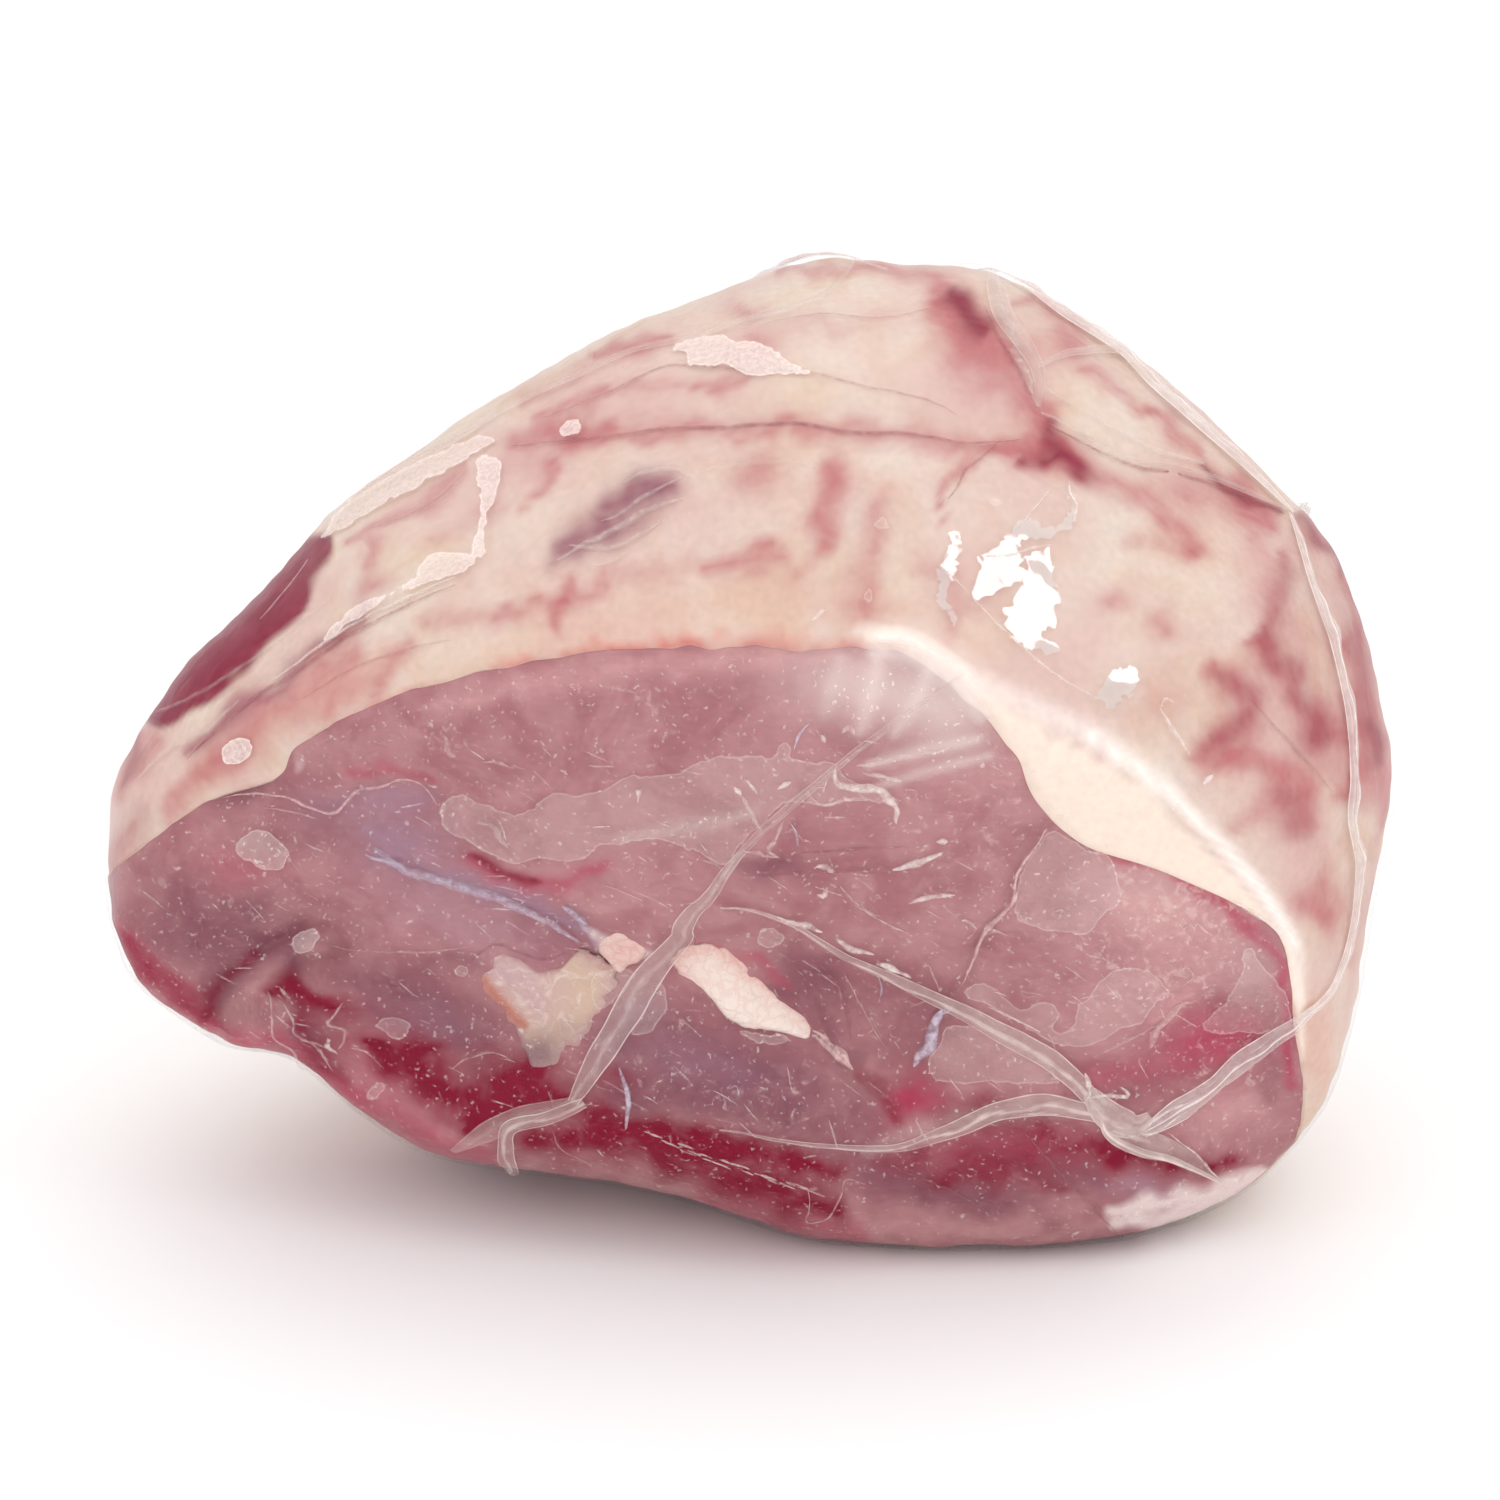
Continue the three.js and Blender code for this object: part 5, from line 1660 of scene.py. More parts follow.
@dataclass
class ShrinkSkin:
    """The shrink film, tight over everything, in a front and a back half that meet round the outline."""

    skin: Skin
    seam: float = 1.02
    front_rings: int = 124
    back_rings: int = 92
    off: float = 0.45
    span_depth: float = 1.6
    far: float = -20.0  # stands for no patch near
    air: Sequence[Patch] = (
        Patch((
            (-67, -12), (-64, -9.5), (-59.5, -10.5), (-55, -12.5), (-51, -13.5), (-46.5, -12), (-43, -9), (-36, -9.5), (-32.5, -8.5), (-28, -6),
            (-17.5, -5), (-7.5, -1.5), (4, -1), (15.5, -2.5), (18.5, -3), (21, -6), (29.5, -8.5), (32.5, -11.5), (26, -11), (22, -10.5),
            (16, -12), (13, -11), (7, -11.5), (3, -15.5), (-2, -20.5), (-5.5, -24.5), (-11.5, -22), (-19.5, -19.5), (-30, -20.5), (-33.5, -21),
            (-36, -23), (-41, -24), (-45.5, -23), (-50, -24.5), (-54.5, -23.5), (-58.5, -21), (-64, -18), (-66.5, -15.5),
        )),
        Patch((
            (65.5, -17), (68.5, -18), (73, -21.5), (78, -22.5), (79.5, -26.5), (80.5, -32), (77, -36), (73, -39.5), (67.5, -39.5),
            (62.5, -38.5), (58, -36), (57.5, -33), (58.5, -27.5), (62.5, -21),
        )),
        Patch((
            (46.5, -53), (48, -51), (51, -50.5), (55.5, -53.5), (58.5, -56), (63, -54.5), (66.5, -55), (67.5, -57), (66, -60.5),
            (70, -60.5), (71.5, -55.5), (73.5, -54.5), (76, -50), (79.5, -47.5), (85, -47), (88.5, -49), (91, -53),
            (87.5, -55.5), (85, -59), (80.5, -60.5), (76.5, -63), (71, -64.5), (66.5, -64), (62.5, -61.5), (53.5, -56),
        )),
        Patch((
            (107.5, -43.5), (109.5, -43), (111, -46), (114.5, -50), (117, -54.5), (117.5, -59), (113, -61.5), (106.5, -61),
            (101.5, -61.5), (98.5, -59.5), (103, -54.5), (106.5, -49.5),
        )),
        Patch((
            (39, -67.5), (41.5, -64), (43, -60), (46.5, -59.5), (56, -61.5), (60.5, -65), (65, -68.5), (67, -72),
            (59.5, -72.5), (53, -72), (46, -72.5), (40.5, -71.5),
        )),
        Patch((
            (-17.5, 86), (-13.5, 89), (-5.5, 90), (-4.5, 89), (4, 88), (8, 84.5), (13.5, 82), (6.5, 81.5), (-1, 81),
            (-3.5, 83), (-13, 83.5), (-14, 86.5),
        ), 0.5),
        Patch(((-93, 45.5), (-90, 51), (-80.5, 58), (-67.5, 64.5), (-58.5, 68), (-54.5, 67.5), (-59, 64.5), (-71.5, 57.5), (-82.5, 51.5), (-88, 48)), 0.42),
        Patch(((-59, 63), (-54.5, 63.5), (-54.5, 57), (-57, 51), (-58, 41), (-60, 42.5), (-58.5, 52)), 0.45),
        Patch(((-74.5, 36), (-71, 41), (-67.5, 43), (-58.5, 41), (-64, 38), (-74, 34.5), (-87, 27.5), (-94, 21.5), (-88, 29.5)), 0.45),
        Patch(((-111.5, -21), (-111, -19), (-106.5, -17.5), (-101.5, -19.5), (-100, -22.5), (-102, -26), (-106.5, -25.5), (-110, -23.5)), 0.2),
        Patch(((-99.5, -42), (-98, -39.5), (-95, -38.5), (-93.5, -39.5), (-94.5, -43), (-98, -44)), 0.2),
        Patch(((1.5, -40.5), (3.5, -38.5), (6, -38.5), (7.5, -40), (5.5, -43), (2.5, -43))),
        Patch(((-41.5, 69.5), (-38.5, 71.5), (-36, 70.5), (-37.5, 68.5), (-40.5, 68)), 0.5),
        Patch(((-115, -0.5), (-113.5, 2), (-109, 2.5), (-108, 1), (-110, -2), (-113.5, -2.5)), 0.55),
        Patch(((-34.5, -49.5), (-31, -47.5), (-24.5, -48), (-28, -53), (-33, -56.5))),
        Patch(((-19.5, -50), (-18, -53.5), (-18.5, -57), (-21, -61), (-25.5, -61.5), (-22.5, -56))),
        Patch(((-81.5, -59.5), (-79.5, -58), (-76, -58), (-73.5, -59), (-74.5, -62), (-76.5, -63), (-79.5, -61))),
        Patch(((-83, -76), (-82, -73), (-80, -71.5), (-79, -73), (-81, -75.5))),
        Patch(((6, 1), (8, 2), (9, 0.5), (7.5, -1), (6, -0.5))),
        Patch(((-118.5, -23), (-117.5, -22.5), (-116.5, -25.5), (-117.5, -26))),
        Patch(((-2, -61), (3, -61.5), (8.5, -62.5), (6, -64), (1.5, -63.5))),
        Patch(((-64, -47.5), (-62.5, -46.5), (-61, -48), (-62.5, -49.5))),
        Patch(((26.5, 50), (30, 50), (30.5, 48.5), (28, 48))),
        Patch(((51.5, 54), (53.5, 54.5), (56, 53), (54, 52.5))),
        Patch(((24.5, 33), (26, 35), (26.5, 34.5), (25.5, 31.5))),
    )
    dry: Sequence[Patch] = (
        Patch((
            (58, 50), (62, 49.5), (62.5, 47.5), (58.5, 45), (58, 38), (55, 34.5), (51, 33.5), (49, 32.5), (49.5, 37),
            (51, 43), (55.5, 46.5),
        )),
        Patch((
            (62.5, 43), (65.5, 44.5), (66, 40), (66, 36.5), (67, 33), (65, 29.5), (66, 27.5), (64, 24.5), (66.5, 21),
            (62.5, 21), (55.5, 26), (55.5, 30.5), (59, 35.5), (59.5, 40),
        )),
        Patch(((62, 46.5), (67.5, 49), (69.5, 51.5), (69.5, 55), (71, 52.5), (69.5, 49), (66, 46))),
        Patch(((74.5, 11), (76, 13), (79, 17.5), (83.5, 17.5), (83.5, 14.5), (81, 11), (79, 9.5))),
        Patch(((43, 47.5), (45.5, 46.5), (45.5, 42), (43.5, 36), (42.5, 31.5), (40.5, 32.5), (41.5, 37.5), (42.5, 43))),
        Patch(((43.5, 29.5), (45, 28), (46, 26), (44.5, 26))),
        Patch(((13.5, 28.5), (15, 30), (16.5, 30), (15.5, 28))),
    )
    veil: Sequence[Stroke | Spot] = (
        # painted sheen and highlight over the top right of the lean and along the cut edge above it
        Spot((26, 14), (17, 8), 0.42, -8),
        Spot((43, 8), (10, 8), 0.38, -38),
        Stroke(((27, 21.5), (32.5, 21), (39.5, 18.5), (45.5, 14), (50.5, 7.5)), 2.2, 0.5),
        Stroke(((19.5, 19.5), (18, 13.5), (16, 8)), 2.4, 0.16),
        Stroke(((28, 21), (26.5, 13), (24, 4.5)), 2.2, 0.28),
        Stroke(((39, 17.5), (36, 10.5), (31.5, 4)), 2.0, 0.28),
        Stroke(((25.5, -3), (37, 0), (50, 2.5)), 1.6, 0.35),
        Stroke(((27, -8), (39.5, -4), (52.5, -1)), 1.4, 0.3),
        # milky film
        Stroke(((-28, -19), (-11, -16), (1.5, -13)), 1.6, 0.2),
        Spot((32.5, 82.5), (30, 4.4), 0.16, -8),
        Spot((4.5, 78), (40, 8), 0.1),
        Spot((-54.5, 54.5), (9, 18), 0.14, -30),
        Spot((-76, 50), (20, 6), 0.15, 38),
        Spot((85, -30.5), (16, 10), 0.1),
        Spot((109, -46), (8, 8), 0.1),
        Stroke(((26, -87), (46, -80), (72, -78)), 2.4, 0.16),
    )

    def build(self) -> list[bpy.types.Object]:
        """Builds both halves.

        Returns:
            The front and the back half.
        """
        finish = ShrinkFilm().make()
        skin, form = self.skin, self.skin.form
        angle = skin.angle[None, :]
        front = (np.arange(1, self.front_rings + 1) / self.front_rings)[:, None] ** 0.92 * self.seam
        back = self.seam + (2.0 - self.seam) * (np.arange(self.back_rings) / self.back_rings)[:, None]
        pieces = []
        for name, latitude, first in (("film_front", front, 0.0), ("film_back", back, 2.0)):
            latitude = latitude * np.ones_like(angle)
            places = self.places(angle, latitude)
            tip = self.places(np.zeros((1, 1)), np.full((1, 1), first), tip=True)[0, 0]
            u, v, weight = skin.seen(latitude)
            marks = {"veil": covered(self.veil, u, v) * weight, "milk": np.zeros(u.shape)}
            marks["cut"] = smoothstep(skin.edge - latitude, 0.0, 0.02)
            for kind in ("air", "dry"):
                deepest = np.full(u.shape, self.far)
                for patch in getattr(self, kind):
                    depth = patch.depth(u, v)
                    marks["milk"] = np.where((depth > deepest) & (depth > -3.0), patch.milk, marks["milk"])
                    deepest = np.maximum(deepest, depth)
                marks[kind] = np.where(weight > 0.5, deepest, self.far)
            if first == 0.0:
                piece = closed_piece(name, tip, places, None)
            else:
                piece = closed_piece(name, tip, places[::-1, ::-1], None)
                marks = {kind: values[::-1, ::-1] for kind, values in marks.items()}
            for kind, values in marks.items():
                store(piece, kind, np.concatenate([[tip_value(values[0])], values.ravel()]))
            put_in_place(piece, finish, "shrink_film")
            pieces.append(piece)
        return pieces

    def places(self, angle: np.ndarray, latitude: np.ndarray, tip: bool = False) -> np.ndarray:
        """Gives places on the film, which spans the creases rather than follow them.

        Args:
            angle: Angles round the middle.
            latitude: Latitudes.
            tip: Whether this is one lone place, which has no neighbours to take its slope from.

        Returns:
            The places, in millimetres on the table.
        """
        form = self.skin.form
        u, v, w = form.plan(angle, latitude)
        relief = form.relief(u, v) * (1.0 - smoothstep(np.minimum(form.share_out(u, v), 1.0), 0.9, 1.0))
        spanned = np.maximum(relief, -self.span_depth + 0.15 * (relief + self.span_depth))
        w = np.where(latitude <= 1.0, w + spanned - relief, w)
        skin = form.set_down(u, v, w)
        if tip:
            out = np.array([0.0, -math.cos(LEAN_BACK), math.sin(LEAN_BACK)]) * (1 if latitude.max() < 1 else -1)
            return skin + out * self.off
        wrinkle = 0.22 * np.maximum(Ripple(7, 31).at(u * 0.6 + v * 0.8, v * 0.5 - u * 0.2), 0.0)
        film = skin + grid_normals(skin) * (self.off + wrinkle)[..., None]
        film[..., 2] = np.maximum(film[..., 2], 0.02)
        return film


def lay_course(form: LegForm, points: Points, spacing: float) -> tuple[np.ndarray, np.ndarray, np.ndarray]:
    """Runs a line over the skin through points that the camera sees.

    Args:
        form: The leg's form.
        points: Seen u and v of each point, and Side.BACK for one on the back.
        spacing: Millimetres from one place to the next.

    Returns:
        Places, the way out of the skin at each, and how far along each is.
    """
    place, normal = form.over_map(catmull_rom(form.on_map(points), per_span=24))
    gaps = np.concatenate([[0.0], np.cumsum(np.linalg.norm(np.diff(place, axis=0), axis=1))])
    even = np.linspace(0, gaps[-1], max(5, int(gaps[-1] / spacing)))
    place, normal = (np.stack([np.interp(even, gaps, a[:, i]) for i in range(3)], axis=-1) for a in (place, normal))
    return place, normal, even


def strip_faces(count: int, steps: int, start: int = 0) -> np.ndarray:
    """Joins the points of a ribbon into squares."""
    r, c = np.meshgrid(np.arange(count - 1), np.arange(steps - 1), indexing="ij")
    a = start + r * steps + c
    return np.stack([a, a + steps, a + steps + 1, a + 1], axis=-1).reshape(-1, 4)


@dataclass
class Strands:
    """Strands of one kind, made as one piece."""

    name: str
    node: str
    slot: str
    lift: float
    height: float
    seed: int
    strands: Sequence[Stroke]
    soft: float = 0.6
    wander: float = 0.25
    steps: int = 7
    spacing: float = 0.6

    def build(self, form: LegForm, finish: bpy.types.Material) -> bpy.types.Object:
        """Builds every strand as a low ridge on the skin.

        Args:
            form: The leg's form.
            finish: Their material.

        Returns:
            The piece.
        """
        across = np.linspace(-1, 1, self.steps)[None, :]
        places, faces, fade, start = [], [], [], 0
        for number, strand in enumerate(self.strands):
            place, normal, along = lay_course(form, strand.points, self.spacing)
            heading = np.gradient(place, axis=0)
            heading /= np.maximum(np.linalg.norm(heading, axis=1, keepdims=True), 1e-9)
            side = np.cross(normal, heading)
            share = along / along[-1]
            ragged = 1 + 1.4 * self.wander * Ripple(4, self.seed + number).at(along, along * 0)
            half = 0.5 * strand.width * ragged * (0.12 + 0.88 * np.sin(np.clip(share, 0, 1) * math.pi) ** 0.6)
            sway = self.wander * strand.width * Ripple(6, self.seed + number + 50).at(along, along * 0)
            rise = self.lift + self.height * (1 - across**2) * np.ones_like(along)[:, None]
            grid = place[:, None, :] + side[:, None, :] * (half[:, None] * across + sway[:, None])[..., None]
            grid = grid + normal[:, None, :] * rise[..., None]
            places.append(grid.reshape(-1, 3))
            faces.append(strip_faces(len(along), self.steps, start))
            fade.append((strand.strength * (1 - across**2) ** self.soft * np.ones_like(along)[:, None]).ravel())
            start += grid.shape[0] * grid.shape[1]
        piece = add_mesh(self.name, np.vstack(places), np.vstack(faces))
        store(piece, "fade", np.concatenate(fade))
        return put_in_place(piece, finish, self.node)


@dataclass(frozen=True)
class Thread:
    """A thin skin of connective tissue, fat or blood that lies on the meat and thins out to its edges, or a painted
    glint on a small wrinkle of the film.
    """

    name: str
    colour: str

    def make(self) -> bpy.types.Material:
        """Builds the material from the cover stored on the piece, torn a little by noise."""
        material, tree = bare_material(self.name)
        place = add_node(tree, "TexCoord").outputs["Object"]
        fade = add_node(tree, "Attribute", attribute_name="fade").outputs["Fac"]
        tear = add_node(
            tree, "TexNoise", {"Vector": place, "Scale": per_mm(1.8), "Detail": 3.0, "Roughness": 0.6}
        ).outputs["Fac"]
        uneven = add_node(
            tree,
            "MapRange",
            {"Value": tear, "From Min": 0.3, "From Max": 0.65, "To Min": 0.3, "To Max": 1.25},
        )
        cover = add_node(
            tree, "Math", {0: fade, 1: uneven.outputs["Result"]}, operation="MULTIPLY", use_clamp=True
        )
        clear = add_node(tree, "BsdfTransparent")
        solid = add_node(tree, "BsdfDiffuse", {"Color": srgb(self.colour)})
        mixed = add_node(tree, "MixShader", {0: cover.outputs[0], 1: clear.outputs[0], 2: solid.outputs[0]})
        add_node(tree, "OutputMaterial", {"Surface": mixed.outputs[0]})
        return material


@dataclass(frozen=True)
class FoldedFilm:
    """Several layers of the shrink film drawn together: whiter and glossier than one, with bright edges that are partly
    painted highlight.
    """

    name: str = "folded_shrink_film"
    milk: str = "#ecd8d2"
    mirror: float = 0.03
    rim: float = 0.3

    def make(self) -> bpy.types.Material:
        """Builds the material from how thick the fold is at each point."""
        material, tree = bare_material(self.name)
        place = add_node(tree, "TexCoord").outputs["Object"]
        veil = add_node(tree, "Attribute", attribute_name="veil").outputs["Fac"]
        crumple = add_node(
            tree, "TexNoise", {"Vector": place, "Scale": per_mm(4), "Detail": 3.0, "Roughness": 0.5}
        ).outputs["Fac"]
        patchy = add_node(
            tree,
            "MapRange",
            {"Value": crumple, "From Min": 0.35, "From Max": 0.65, "To Min": 0.8, "To Max": 1.2},
        )
        haze = add_node(
            tree, "Math", {0: veil, 1: patchy.outputs["Result"]}, operation="MULTIPLY", use_clamp=True
        )
        bump = add_node(tree, "Bump", {"Strength": 0.3, "Distance": 0.4 * MM, "Height": crumple})
        clear = add_node(tree, "BsdfTransparent")
        milky = add_node(tree, "BsdfDiffuse", {"Color": srgb(self.milk), "Normal": bump.outputs[0]})
        body = add_node(tree, "MixShader", {0: haze.outputs[0], 1: clear.outputs[0], 2: milky.outputs[0]})
        gloss = add_node(tree, "BsdfGlossy", {"Roughness": 0.12, "Normal": bump.outputs[0]})
        facing = add_node(tree, "LayerWeight", {"Blend": 0.5, "Normal": bump.outputs[0]}).outputs["Facing"]
        graze = add_node(tree, "Math", {0: facing, 1: 4.0}, operation="POWER")
        mirror = add_node(
            tree, "Math", {0: graze.outputs[0], 1: self.rim, 2: self.mirror}, operation="MULTIPLY_ADD"
        )
        mixed = add_node(tree, "MixShader", {0: mirror.outputs[0], 1: body.outputs[0], 2: gloss.outputs[0]})
        add_node(tree, "OutputMaterial", {"Surface": mixed.outputs[0]})
        return material


@dataclass(frozen=True)
class Pleat:
    """A fold where spare film is gathered: a ribbon of ridges that lies on the film."""

    name: str
    points: Points
    widths: Sequence[float]
    height: float = 1.0
    ridges: int = 2
    veil: float = 0.3
    # edge and crest_highlight whiten the fold's sides and ridge tops: painted highlight, as well as the stacked film's
    # own whiteness
    edge: float = 0.6
    seed: int = 0
    crest_highlight: float = 0.4

    def build(self, form: LegForm, finish: bpy.types.Material) -> bpy.types.Object:
        """Builds the ribbon over the film.

        Args:
            form: The leg's form.
            finish: The folded film's material.

        Returns:
            The piece.
        """
        place, normal, even = lay_course(form, self.points, 0.8)
        count = len(even)
        along = np.gradient(place, axis=0)
        along /= np.linalg.norm(along, axis=1, keepdims=True)
        side = np.cross(normal, along)
        share = np.linspace(0, 1, count)
        half = np.interp(share, np.linspace(0, 1, len(self.widths)), self.widths) / 2
        half = half * (1 + 0.06 * Ripple(16, self.seed).at(even, even * 0)) * (0.25 + 0.75 * np.sin(np.clip(share, 0.02, 0.98) * math.pi) ** 0.35)
        steps = 8 * self.ridges + 5
        across = np.sin(np.linspace(-math.pi / 2, math.pi / 2, steps))
        sway = 0.12 * Ripple(12, self.seed + 1).at(even, even * 0)
        phase = self.ridges * math.pi * (across[None, :] + 1) / 2 + 0.5 * Ripple(18, self.seed + 2).at(even, even * 0)[:, None]
        fold = np.abs(np.sin(phase)) ** 0.8 * (1 - across[None, :] ** 4)
        uneven = 0.75 + 0.35 * Ripple(11, self.seed + 3).at(even[:, None], across[None, :] * 6)
        height = 0.55 + self.height * fold * uneven * np.minimum(1, 6 * np.minimum(share, 1 - share))[:, None]
        grid = place[:, None, :] + side[:, None, :] * (half[:, None] * across[None, :] + sway[:, None])[..., None]
        grid = grid + normal[:, None, :] * height[..., None]
        grid[..., 2] = np.maximum(grid[..., 2], 0.3)
        faces = strip_faces(count, steps)
        piece = add_mesh(self.name, grid.reshape(-1, 3), faces)
        # the sides and crests are whiter: painted highlight, as well as the stacked film's own whiteness
        shore = smoothstep(np.abs(across), 0.9, 0.99)[None, :]
        crest_highlight = smoothstep(fold, 0.93, 0.99) * self.crest_highlight
        store(piece, "veil", self.veil + (self.edge - self.veil) * np.clip(np.maximum(shore * np.ones_like(fold), crest_highlight), 0, 1))
        return put_in_place(piece, finish, "shrink_film")


BACK = Side.BACK


@dataclass
class Markings:
    """The fine lines: sinews, silver skin, blood in the creases, and painted glints on the small wrinkles of the film.
    """

    form: LegForm
    sinews: Sequence[Stroke] = (
        Stroke(((-115, -10.5), (-108, -9.5), (-100.5, -10.5), (-96, -12.5), (-90, -13.5), (-85.5, -9), (-80.5, -8), (-74.5, -6.5), (-70, -9), (-68, -12.5)), 0.9, 0.7),
        Stroke(((-106, -12.5), (-100, -13.5), (-94, -15)), 0.7, 0.4),
        Stroke(((64.5, -17), (62.5, -20.5), (58.5, -26.5), (57, -33.5), (51, -40.5), (48.5, -46), (46, -51.5)), 1.1, 0.9),
        Stroke(((51, -40.5), (53, -39.5), (56, -40.5)), 0.8, 0.7),
        Stroke(((54.5, -36), (53, -37.5), (51, -39.5)), 1.6, 0.6),
        Stroke(((13.5, -62), (17, -64.5), (19.5, -67.5), (22.5, -69.5)), 1.8, 0.9),
        Stroke(((7.5, -15.5), (5.5, -19.5), (4, -22), (6.5, -23.5)), 1.4, 0.7),
        Stroke(((-2, -22), (1.5, -22.5), (6, -23.5)), 1.2, 0.6),
        Stroke(((19.5, -29.5), (22, -32.5), (26.5, -36), (31, -38.5), (34.5, -40)), 1.0, 0.7),
        Stroke(((24, -33.5), (26, -35.5), (29.5, -36.5)), 0.6, 0.5),
        Stroke(((46, -37), (47.5, -37.5), (49.5, -39)), 1.0, 0.7),
        Stroke(((47, -41.5), (49, -39.5)), 0.8, 0.5),
        Stroke(((20.5, -48.5), (22.5, -52.5), (26, -59), (29.5, -65)), 0.6, 0.45),
        Stroke(((13.5, -61), (19, -65), (22.5, -69.5)), 2.2, 0.9),
        Stroke(((35, -56), (38.5, -54.5)), 0.7, 0.4),
        Stroke(((-32.5, -29.5), (-27.5, -31), (-23, -33)), 0.7, 0.45),
        Stroke(((-58.5, -2.5), (-54.5, -3), (-51.5, -4)), 1.1, 0.55),
        Stroke(((-67.5, 3.5), (-66, 2), (-66.5, -0.5)), 1.4, 0.5),
        Stroke(((-62.5, 2.5), (-61.5, 0.5)), 1.3, 0.4),
        Stroke(((-33.5, 14.5), (-27.5, 13), (-24, 12)), 1.0, 0.3),
        Stroke(((-92, -42.5), (-87, -43.5), (-78, -44), (-69.5, -44), (-61, -43)), 0.8, 0.35),
        Stroke(((-65, -69.5), (-61, -67), (-55.5, -66), (-51, -68)), 0.7, 0.5),
        Stroke(((86.5, -65), (89.5, -60), (93, -56.5), (97, -54.5)), 2.6, 0.55),
        Stroke(((76.5, -66), (83, -63), (89.5, -59.5)), 1.2, 0.4),
        Stroke(((94, -39.5), (96, -37.5), (97.5, -39.5), (96.5, -41.5)), 0.8, 0.6),
        Stroke(((93, -48.5), (95, -47.5), (96.5, -49.5), (94.5, -51)), 0.8, 0.55),
        Stroke(((68.5, -26), (70, -29), (73, -28)), 0.7, 0.4),
        Stroke(((12.5, -95), (13, -99), (12.5, -103), (16, -102.5), (19.5, -98), (21, -93.5), (25, -94.5)), 0.6, 0.65),
        Stroke(((-43, -83), (-41, -87), (-34.5, -90.5)), 0.6, 0.4),
        Stroke(((-132.5, -30.5), (-130, -32.5), (-127.5, -34.5)), 0.8, 0.5),
    )
    silver: Sequence[Stroke] = (
        Stroke(((-83.5, -22.5), (-78, -25), (-67.5, -28.5), (-58.5, -31), (-50, -34.5), (-43, -38), (-37, -42)), 3.4, 0.6),
        Stroke(((-82, -21), (-79, -23.5), (-75, -26)), 2.6, 0.4),
        Stroke(((-41, -34), (-37.5, -36.5), (-34.5, -40)), 2.6, 0.8),
        Stroke(((42, -56.5), (40.5, -59.5), (39, -64), (37, -66.5), (36, -69)), 3.2, 1.0),
        Stroke(((44, -55.5), (42, -57.5)), 2.0, 0.8),
        Stroke(((-28.5, -69), (-27.5, -72), (-26.5, -76), (-27, -82.5)), 1.5, 0.8),
        Stroke(((13, 6), (10.5, 3), (9.5, 0)), 0.8, 0.8),
        Stroke(((9, -16), (10, -18.5), (10.5, -21)), 0.8, 0.6),
        Stroke(((27.5, -48.5), (28.5, -51.5), (28, -55)), 0.7, 0.5),
        Stroke(((-127, -35.5), (-125.5, -36)), 0.8, 0.6),
        Stroke(((-4.5, -74), (-3, -73), (-2.5, -75.5)), 0.6, 0.5),
    )
    pale: Sequence[Stroke] = (
        Stroke(((-42, 41), (-37.5, 44), (-32.5, 46.5), (-27.5, 49), (-24, 51.5), (-19, 53.5), (-14.5, 54.5)), 2.4, 0.45),
        Stroke(((-32.5, 49.5), (-28, 51.5), (-24, 54.5), (-19.5, 57), (-15, 59.5)), 1.5, 0.36),
        Stroke(((-39.5, 44.5), (-34.5, 44), (-28, 44.5), (-23.5, 47), (-19, 50)), 2.0, 0.39),
        Stroke(((-27.5, 58), (-24, 60), (-20, 61), (-16, 61), (-12.5, 59)), 1.8, 0.36),
        Stroke(((-34.5, 40), (-30, 41), (-26, 43.5)), 1.5, 0.3),
        Stroke(((-90.5, 34), (-101.5, 25), (-113, 16.5), (-122.5, 11), (-130.5, 7.5)), 2.0, 0.2),
        Stroke(((-64, 37.5), (-74.5, 33), (-84, 29), (-94.5, 22), (-104, 15)), 2.4, 0.36),
        Stroke(((-111, 11), (-118, 4.5), (-126, 0.5), (-133.5, -7)), 3.3, 0.3),
        Stroke(((-11, 61), (2.5, 62.5), (15.5, 61.5)), 2.1, 0.15),
        Stroke(((52.5, 103), (54.5, 98), (57.5, 89), (60.5, 80.5), (62.5, 74.5)), 4.2, 0.42),
    )
